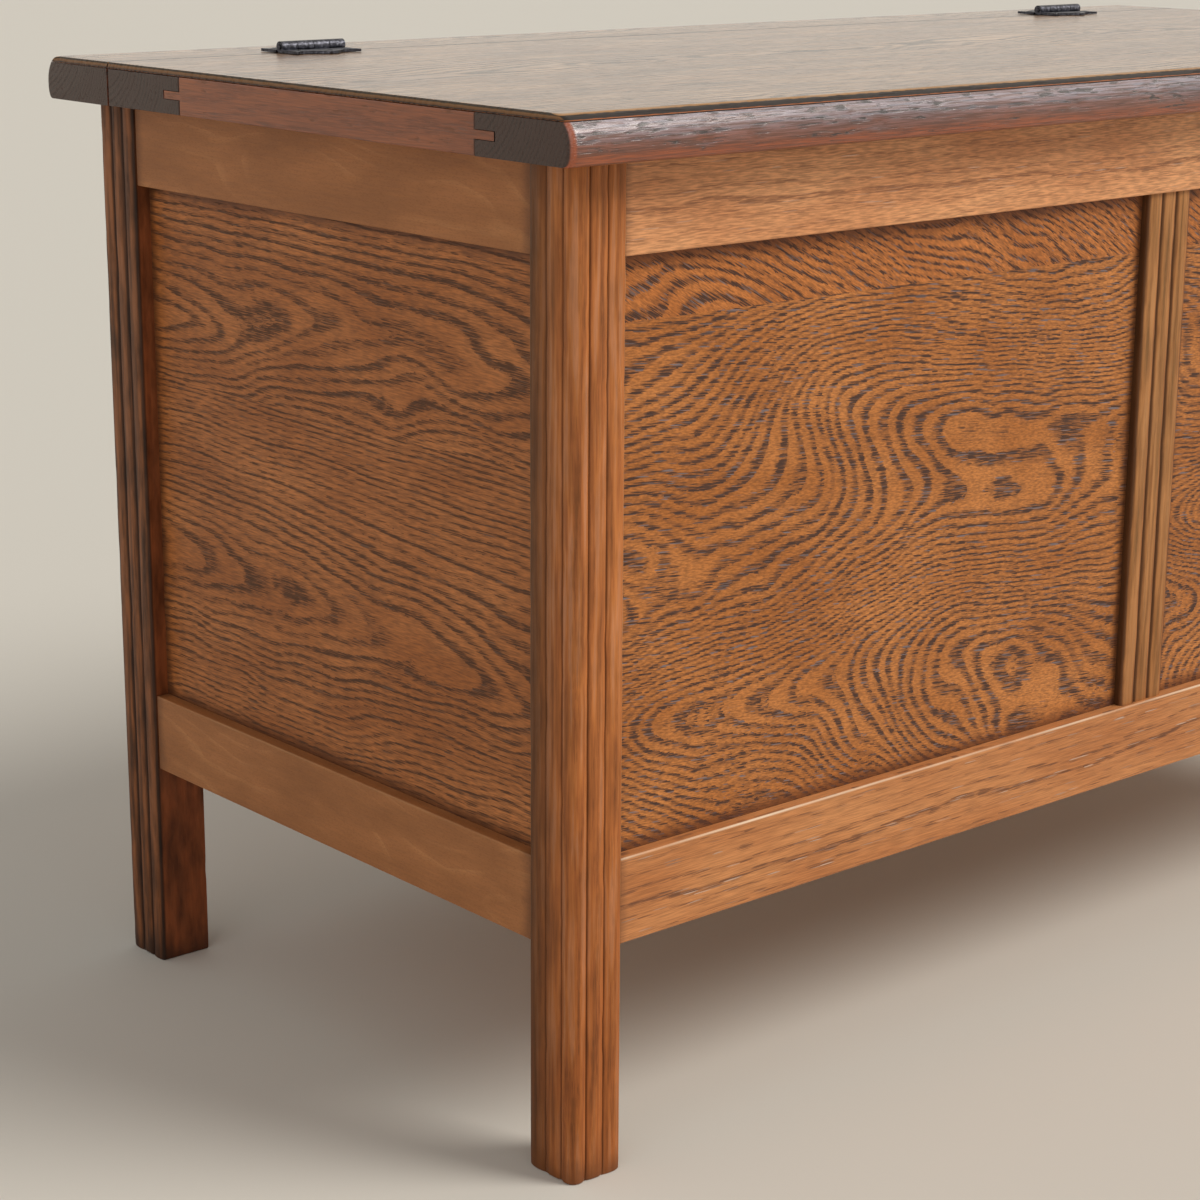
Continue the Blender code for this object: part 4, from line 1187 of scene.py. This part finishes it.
def aged_coats(tree, place, facing, fibre, seed, tones):
    """The coats of an old varnished edge: orange below, bloom with a painted sheen above, and bruises;
    and the bruises.
    """
    upward = add(tree, "MapRange", {"Value": facing.outputs["Z"], "From Min": -1.0})
    low_side = add(tree, "ValToRGB", {"Fac": upward}, stops=ORANGE_BY_SLOPE)
    streak = add(
        tree, "MapRange",
        {"Value": fibre, "From Min": 0.38, "From Max": 0.6, "To Min": 0.5, "To Max": 1.15},
    )
    under = coats(tree, tones["under"], [(1.0, streak, GLAZE)])
    # Faces that turn up to the sky take the bluish layer: bloom, and a painted reflection of the sky.
    facing_sky = add(
        tree, "MapRange", {"Value": facing.outputs["Z"], "From Min": -0.2, "From Max": 0.6},
        interpolation_type="SMOOTHSTEP",
    )
    patch = add(tree, "TexNoise", marks(tree, place, BLOOM_AND_SHEEN_SIZE, seed, Detail=3.0))
    thick = add(tree, "MapRange", {"Value": patch, "From Min": 0.35, "From Max": 0.65, "To Min": 0.85})
    ridge = add(
        tree, "MapRange",
        {"Value": fibre, "From Min": 0.44, "From Max": 0.54, "To Min": 0.25 * tones["sheen_strength"],
         "To Max": tones["sheen_strength"]},
    )
    lifted = add(tree, "Math", {0: facing_sky, 1: ridge}, operation="MULTIPLY")
    painted_sheen = add(tree, "Math", {0: lifted, 1: thick}, operation="MULTIPLY")
    knocks = add(tree, "TexNoise", marks(tree, place, KNOCK_SIZE, seed + 2.0, Detail=5.0))
    height = add(tree, "Math", {0: facing.outputs["Z"], 1: 0.09, 2: knocks}, operation="MULTIPLY_ADD")
    bruised = add(
        tree, "MapRange", {"Value": height, "From Min": 0.61, "From Max": 0.69, "To Max": 0.9}
    )
    return [(low_side, under), (painted_sheen, tones["bloom_and_sheen"]), (bruised, tones["bruise"])], bruised


print("patches of bloom, mm:", BLOOM_AND_SHEEN_SIZE[0], "and bruises, mm:", KNOCK_SIZE[0])

# %% Varnished oak
VARNISHED = {
    "roughness": 0.36, "relief": 0.9, "specular": 0.5, "coat": 0.9, "coat_roughness": 0.2,
    "coat_relief": True,
}


def varnished_oak(name, node, order, cut, tones, grain, gloss):
    """Varnished oak with bruises, an orange underside and corners, and darker sawn ends."""
    material, tree, shader = start(name)
    place = lay(tree, node, order)
    colour, hollows, fibre = oak_body(tree, place, cut, tones, grain)
    facing = add(tree, "SeparateXYZ", {"Vector": add(tree, "TexCoord").outputs["Normal"]})
    aged, bruised = aged_coats(tree, place, facing, fibre, cut["seed"], tones)
    along = add(tree, "Math", {0: facing.outputs[order[0]]}, operation="ABSOLUTE")
    rubbed = add(tree, "MapRange", {"Value": along, "From Min": 0.1, "From Max": 0.4, "To Max": 0.8})
    ended = add(tree, "MapRange", {"Value": along, "From Min": 0.75, "From Max": 0.9})
    end = sawn_end(tree, place, cut, tones["end"], tones["end_dark"])
    colour = coats(tree, colour, [*aged, (rubbed, tones["corner"]), (ended, end)])
    hollows = add(tree, "Math", {0: hollows, 1: bruised}, operation="MAXIMUM")
    polish(tree, shader, colour, hollows, fibre, gloss)
    coated = add(tree, "MapRange", {"Value": ended, "To Min": gloss["coat"], "To Max": 0.0})
    feed(tree, shader, {"Coat Weight": coated})
    return material


print("coat of the varnish:", VARNISHED["coat"])

# %% Boards of the lid
LID_GRAIN = {
    "pore": (9.0, 0.7, 0.7), "open": 0.85, "fine": 0.35, "fibre": (20.0, 0.7, 0.7), "streak": 0.35,
    "glint_from": 0.7, "flat": False,
}
LID_TONES = {
    "light": "#743c1e", "deep": "#552814", "early": "#40200f", "pore": "#24130f", "glint": "#6b5750",
    "under": "#b0500f", "corner": "#a84c18", "end": "#412a20", "end_dark": "#322118",
    "bruise": "#1c1212", "bloom_and_sheen": "#b8b4c6", "sheen_strength": 0.5,
}
STRIP_TONES = dict(LID_TONES, corner="#3a2418", bloom_and_sheen="#b8b4b4", sheen_strength=0.4)
REAR_STILE_TONES = dict(LID_TONES, corner="#3a2418")
CLEAT_TONES = dict(
    LID_TONES, light="#9e5526", deep="#8a471e", early="#81411b", pore="#5a2e14", under="#8a461e",
    corner="#4a2a1a", bruise="#74401f", sheen_strength=0.05,
)
CLEAT_GRAIN = dict(LID_GRAIN, open=0.35, fine=0.3, streak=0.2)
LID_CUT = {
    "heart": (30.0, 45.0), "ring": 2.6, "bend": 7.0, "bend_size": (220.0, 40.0, 40.0),
    "ripple": 1.0, "ripple_size": (40.0, 20.0, 20.0), "poor_year": 0.3,
}
GROOVE_DEPTH = 14.9 * MM
GROOVE_HALF = 2.4 * MM

low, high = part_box("lid_front_stile")
tongue = (low.z + high.z) / 2
stile_oak = varnished_oak(
    "varnished_oak_front_stile", "lid_front_stile", "XZY", dict(LID_CUT, seed=7.7), LID_TONES,
    LID_GRAIN, VARNISHED,
)
groove = (GROOVE_DEPTH, tongue - GROOVE_HALF, tongue + GROOVE_HALF)
stile = nosed_sweep(low.y, high.y, low.z, high.z, dents, groove)
settle("nosed_lid_front_stile", stile, "lid_front_stile", stile_oak)

low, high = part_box("back_strip")
strip_oak = varnished_oak(
    "varnished_oak_back_strip", "back_strip", "XZY", dict(LID_CUT, seed=12.0), STRIP_TONES,
    LID_GRAIN, VARNISHED,
)
settle("nosed_back_strip", nosed_sweep(high.y, low.y, low.z, high.z), "back_strip", strip_oak)

INNER_BOARDS = (
    ("lid_rear_stile", "XZY", 14.0, REAR_STILE_TONES, LID_GRAIN),
    ("lid_cleat_left", "YZX", 16.0, CLEAT_TONES, CLEAT_GRAIN),
    ("lid_cleat_right", "YZX", 18.0, CLEAT_TONES, CLEAT_GRAIN),
)
for node, order, seed, tones, grain in INNER_BOARDS:
    cut = dict(LID_CUT, seed=seed)
    gloss = dict(VARNISHED, coat=0.3)
    dress(node, varnished_oak("varnished_oak_" + node, node, order, cut, tones, grain, gloss))
print("boards of the lid and the strip:", 2 + len(INNER_BOARDS))

# %% [markdown]
# ## The thin top
#
# Two thin sheets of plywood cover the lid and the strip behind it. Their top veneer is oak, waxed and
# worn, and seen low it mirrors the pale room, so its grain shows as long streaks in the gloss and not
# only in the colour. Round their edge the nose has been planed through the layers: a golden veneer on
# top, a core that went almost black, and an orange veneer below. The height of a place picks them out.
# Dirt has gathered in the seam between the two sheets. At the sides the layers run the other way: a
# brown core between dirty veneers.

# %% Layers of the plywood
FRAY_SIZE = (5.0, 5.0, 5.0)
TOP_UNDER = "#ffc890"
EDGE_LAYERS = [
    (0.0, "#a85e30"), (0.12, "#a05c30"), (0.2, "#1e1410"), (0.74, "#241812"), (0.82, "#a87a4a"),
    (1.0, "#b58a5e"),
]
SIDE_LAYERS = [
    (0.0, "#2a1d15"), (0.16, "#2a1d15"), (0.26, "#6e4a2c"), (0.6, "#8a623c"), (0.74, "#40301f"),
    (1.0, "#2e241c"),
]


def layered(tree, place, node, veneer):
    """The colour of a sheet with its veneer on top and its layers round the edge, and the top's share."""
    low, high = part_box(node)
    coordinates = add(tree, "TexCoord")
    axes = add(tree, "SeparateXYZ", {"Vector": coordinates.outputs["Object"]})
    facing = add(tree, "SeparateXYZ", {"Vector": coordinates.outputs["Normal"]})
    frayed = add(tree, "TexNoise", marks(tree, place, FRAY_SIZE, 1.0, Detail=2.0))
    fray = add(tree, "MapRange", {"Value": frayed, "To Min": -0.1, "To Max": 0.1})
    height = add(
        tree, "MapRange", {"Value": axes.outputs["Z"], "From Min": low.z, "From Max": high.z}
    )
    torn = add(tree, "Math", {0: height, 1: fray}, operation="ADD")
    front_layers = add(tree, "ValToRGB", {"Fac": torn}, stops=EDGE_LAYERS)
    side_layers = add(tree, "ValToRGB", {"Fac": torn}, stops=SIDE_LAYERS)
    sideways = add(tree, "Math", {0: facing.outputs["X"]}, operation="ABSOLUTE")
    sawn = add(tree, "MapRange", {"Value": sideways, "From Min": 0.5, "From Max": 0.7})
    flat = add(tree, "MapRange", {"Value": height, "From Min": 0.94, "From Max": 0.985})
    below = add(tree, "MapRange", {"Value": height, "From Min": 0.08, "From Max": 0.02})
    under = coats(tree, veneer, [(1.0, TOP_UNDER, GLAZE)])
    colour = coats(tree, front_layers, [(sawn, side_layers), (flat, veneer), (below, under)])
    return colour, flat


print("dark core, share of the edge:", round(EDGE_LAYERS[3][0] - EDGE_LAYERS[2][0], 2))

# %% Oak-faced plywood
TOP_TONES = {
    "light": "#b48a62", "deep": "#8a6240", "early": "#583a24", "pore": "#2e1c12", "glint": "#8f7f70",
}
TOP_GRAIN = {
    "pore": (11.0, 0.9, 0.9), "open": 0.95, "fine": 0.6, "fibre": (60.0, 1.4, 1.4), "streak": 0.55,
    "glint_from": 0.8, "flat": True,
}
TOP_CUT = {
    "heart": (30.0, 40.0), "ring": 4.4, "bend": 34.0, "bend_size": (300.0, 110.0, 110.0),
    "kink": 5.0, "kink_size": (110.0, 110.0, 110.0), "ripple": 4.0,
    "ripple_size": (50.0, 50.0, 50.0), "poor_year": 0.5,
}
TOP_WAX = {
    "roughness": 0.38, "relief": 0.7, "specular": 0.3, "coat": 0.95, "coat_roughness": 0.24,
    "coat_relief": True,
}
EDGE_COAT = 0.02


def oak_faced_ply(name, node, cut):
    """Waxed oak veneer on a thin core that shows at the edge."""
    material, tree, shader = start(name)
    place = lay(tree, node, "XYZ")
    colour, hollows, fibre = oak_body(tree, place, cut, TOP_TONES, TOP_GRAIN)
    sides = from_sides(tree, place, node, "XYZ")
    colour = grime_and_shade(tree, colour, sides.outputs["Y"], 3.5, "#1c130d", 1.0, place, cut["seed"])
    colour, flat = layered(tree, place, node, colour)
    polish(tree, shader, colour, hollows, fibre, TOP_WAX)
    coated = add(tree, "MapRange", {"Value": flat, "To Min": EDGE_COAT, "To Max": TOP_WAX["coat"]})
    feed(tree, shader, {"Coat Weight": coated})
    return material


low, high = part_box("lid_top_sheet")
front_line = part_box("lid_front_stile")[0].y
lid_ply = oak_faced_ply("oak_faced_ply_lid", "lid_top_sheet", dict(TOP_CUT, seed=4.4))
lid_sheet = nosed_sweep(front_line, high.y, low.z, high.z, dents)
settle("veneered_lid_top", lid_sheet, "lid_top_sheet", lid_ply)

low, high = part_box("back_strip_sheet")
back_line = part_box("back_strip")[1].y
strip_ply = oak_faced_ply("oak_faced_ply_strip", "back_strip_sheet", dict(TOP_CUT, seed=21.0))
strip_sheet = nosed_sweep(back_line, low.y, low.z, high.z)
settle("veneered_back_strip_top", strip_sheet, "back_strip_sheet", strip_ply)
print("top stands at, mm:", round(high.z / MM, 1))

# %% [markdown]
# ## Hidden woods
#
# The bearers, the dowels and the rail in the middle of the lid are bare softwood, and the bottom and
# back are thin birch plywood that was never polished. They show only with the lid open or from behind,
# yet they have their own grain: wide soft rings in the softwood, quiet cloudy figure in the ply.

# %% Bare pine and birch ply
BARE_FIBRE = (9.0, 0.45, 0.45)
DRY = {
    "roughness": 0.62, "relief": 0.3, "specular": 0.4, "coat": 0.0, "coat_roughness": 0.5,
    "coat_relief": False,
}


def bare_wood(name, node, order, cut, light, dark, strength):
    """Unfinished wood: pale ground, darker late wood at the end of each ring."""
    material, tree, shader = start(name)
    place = lay(tree, node, order)
    cloud = add(tree, "TexNoise", marks(tree, place, CLOUD_SIZE, cut["seed"], Detail=4.0))
    phase = add(tree, "Math", {0: rings(tree, place, cut)}, operation="FRACT")
    late = add(
        tree, "ValToRGB", {"Fac": phase},
        stops=[(0.0, 0.1), (0.5, 0.15), (0.9, strength), (0.97, strength), (1.0, 0.1)],
    )
    soft = add(tree, "Math", {0: cloud, 1: 0.3, 2: late}, operation="MULTIPLY_ADD")
    fibre = add(tree, "TexNoise", marks(tree, place, BARE_FIBRE, cut["seed"], Detail=3.0))
    streak = add(tree, "MapRange", {"Value": fibre, "To Min": 0.85, "To Max": 1.12})
    colour = coats(tree, light, [(soft, dark), (1.0, streak, GLAZE)])
    polish(tree, shader, colour, late, fibre, DRY)
    return material


PINE_CUT = dict(RAIL_CUT, ring=4.0, heart=(20.0, 30.0))
PINE = {
    "front_bearer": "XZY", "back_bearer": "XZY", "left_bearer": "YZX", "right_bearer": "YZX",
    "lid_middle_rail": "YXZ", "strip_dowel_post_left": "ZXY", "strip_dowel_post_right": "ZXY",
    "strip_dowel_rail_left": "ZXY", "strip_dowel_rail_right": "ZXY",
}
for count, (node, order) in enumerate(PINE.items()):
    cut = dict(PINE_CUT, seed=2.0 + 1.7 * count)
    dress(node, bare_wood("bare_pine_" + node, node, order, cut, "#cfa47a", "#9a683f", 0.7))
PLY_CUT = dict(TOP_CUT, ring=9.0, bend=30.0)
PLY = {"bottom_board": "XYZ", "back_panel_left": "XZY", "back_panel_right": "XZY"}
for count, (node, order) in enumerate(PLY.items()):
    cut = dict(PLY_CUT, seed=8.0 + 3.3 * count)
    dress(node, bare_wood("birch_ply_" + node, node, order, cut, "#cb9a6e", "#a8744a", 0.4))
print("bare woods dressed:", len(PINE) + len(PLY))

# %% [markdown]
# ## Black iron and steel
#
# The hinges are forged iron, blacked and oiled. The hammer leaves shallow facets a few millimetres
# across, and each one catches the light by itself. That is a smooth Voronoi pattern in the bump. The
# leaves are copies of the exact pieces with their edges rounded, since no forged edge is sharp.

# %% Hammered iron
SCALE_SIZE = (1.6, 1.6, 1.6)
LEAF_FACET = 2.4
HEAD_FACET = 3.0


def blacked_iron(name, node, facet, relief):
    """Blacked iron with hammer marks of a size in millimetres and worn, brighter high spots."""
    material, tree, shader = start(name)
    place = lay(tree, node, "XYZ")
    blows = add(tree, "TexVoronoi", marks(tree, place, (facet,) * 3), feature="SMOOTH_F1")
    scale = add(tree, "TexNoise", marks(tree, place, SCALE_SIZE, Detail=4.0))
    colour = add(
        tree, "ValToRGB", {"Fac": scale}, stops=[(0.35, "#38383e"), (0.6, "#5a5b64"), (0.75, "#888a96")]
    )
    roughness = add(tree, "MapRange", {"Value": scale, "To Min": 0.28, "To Max": 0.55})
    height = add(
        tree, "Math", {0: scale, 1: 0.3, 2: blows.outputs["Distance"]}, operation="MULTIPLY_ADD"
    )
    bump = add(tree, "Bump", {"Height": height, "Strength": relief, "Distance": 0.4 * MM})
    feed(tree, shader, {
        "Base Color": colour, "Metallic": 1.0, "Roughness": roughness, "Normal": bump,
    })
    return material


print("hammer marks on a leaf, mm:", LEAF_FACET)

# %% Forged hinges
EDGE_ROUND = 0.22 * MM
WELD_REACH = 0.01 * MM
FLAT_DEGREES = 4
SHARP_DEGREES = 40


def rounded_copy(name, node, material):
    """A welded copy of a node with its sharp edges rounded over."""
    bm = bmesh.new()
    bm.from_mesh(nodes[node].data)
    bmesh.ops.remove_doubles(bm, verts=bm.verts, dist=WELD_REACH)
    flat = math.radians(FLAT_DEGREES)
    bmesh.ops.dissolve_limit(bm, angle_limit=flat, verts=bm.verts, edges=bm.edges)
    piece = settle(name, bm, node, material)
    bevel = piece.modifiers.new("worn edges", "BEVEL")
    bevel.width = EDGE_ROUND
    bevel.segments = 2
    bevel.limit_method = "ANGLE"
    bevel.angle_limit = math.radians(SHARP_DEGREES)
    return piece


leaves = [f"hinge_{hand}_{place}_leaf" for hand in ("left", "right") for place in ("front", "rear")]
for node in leaves:
    rounded_copy("forged_" + node, node, blacked_iron("blacked_iron_" + node, node, LEAF_FACET, 0.9))
small_iron = [node for node in nodes if node.startswith("hinge") and node not in leaves]
for node in small_iron:
    dress(node, blacked_iron("blacked_iron_" + node, node, HEAD_FACET, 0.3))
print("hinge leaves:", len(leaves), "and pins and screws:", len(small_iron))

# %% [markdown]
# The screws that hold the bearers are plain steel. They were turned and left as they came, so their
# dull sheen is uneven, and a little rust has settled on them. The tool's rings are too fine to show
# from any distance at which the chest is seen, so a coarser noise stands for them in the bump.

# %% Turned steel
RUST_SIZE = (1.2, 1.2, 1.2)


def turned_steel(name, node):
    """Turned steel with a breath of rust."""
    material, tree, shader = start(name)
    place = lay(tree, node, "XYZ")
    rust = add(tree, "TexNoise", marks(tree, place, RUST_SIZE, Detail=5.0))
    colour = add(
        tree, "ValToRGB", {"Fac": rust}, stops=[(0.45, "#a09b95"), (0.65, "#8a8078"), (0.8, "#6d4a33")]
    )
    roughness = add(tree, "MapRange", {"Value": rust, "To Min": 0.3, "To Max": 0.6})
    bump = add(tree, "Bump", {"Height": rust, "Strength": 0.3, "Distance": 0.05 * MM})
    feed(tree, shader, {
        "Base Color": colour, "Metallic": 1.0, "Roughness": roughness, "Normal": bump,
    })
    return material


bearer_screws = [node for node in nodes if "bearer_screw" in node]
for node in bearer_screws:
    dress(node, turned_steel("turned_steel_" + node, node))
print("bearer screws dressed:", len(bearer_screws))

# %% [markdown]
# ## Floor and light
#
# The studio is a pale floor and soft light. A big soft lamp to the front right models the reeds and
# the nose, a weaker one fills the left side, and the pale sky does the rest. The sky that lights the
# chest is dimmer than the one that a camera or a polished surface sees, so that the background is
# pale while the colours stay as they were mixed.

# %% Pale floor
FLOOR_REACH = 20.0
bpy.ops.mesh.primitive_plane_add(size=2 * FLOOR_REACH)
floor = bpy.context.object
floor.name = "floor"
material, tree, shader = start("pale_floor")
feed(tree, shader, {"Base Color": "#d8d4cc", "Roughness": 0.85})
floor.data.materials.append(material)
print("floor is this wide, m:", 2 * FLOOR_REACH)

# %% Lamps
def soft_sun(name, azimuth, elevation, spread, strength, colour):
    """A wide sun. Azimuth 0 shines from the front of the chest and 90 from its right."""
    lamp = bpy.data.lights.new(name, "SUN")
    lamp.energy = strength
    lamp.angle = math.radians(spread)
    lamp.color = linear(colour)[:3]
    sun = bpy.data.objects.new(name, lamp)
    bpy.context.scene.collection.objects.link(sun)
    sun.rotation_euler = (math.radians(90 - elevation), 0.0, math.radians(azimuth))


soft_sun("key", azimuth=38.0, elevation=42.0, spread=28.0, strength=2.0, colour="#fffaf2")
soft_sun("fill", azimuth=-62.0, elevation=24.0, spread=50.0, strength=0.35, colour="#f7f8ff")

# %% Sky
LIGHTING_STRENGTH = 0.45
world = bpy.data.worlds.new("pale_room")
world.use_nodes = True
tree = world.node_tree
tree.nodes.clear()
lighting = add(tree, "Background", {"Color": "#f4f1ea", "Strength": LIGHTING_STRENGTH})
seen = add(tree, "Background", {"Color": "#e9e4da", "Strength": 1.0})
path = add(tree, "LightPath")
any_view = path.outputs["Is Camera Ray"]
for ray in ("Is Glossy Ray", "Is Transmission Ray"):
    any_view = add(tree, "Math", {0: any_view, 1: path.outputs[ray]}, operation="MAXIMUM")
sky = add(tree, "MixShader", {0: any_view, 1: lighting, 2: seen})
add(tree, "OutputWorld", {"Surface": sky})
bpy.context.scene.world = world
bpy.context.scene.view_settings.view_transform = "Standard"
print("the sky lights the chest at:", LIGHTING_STRENGTH)
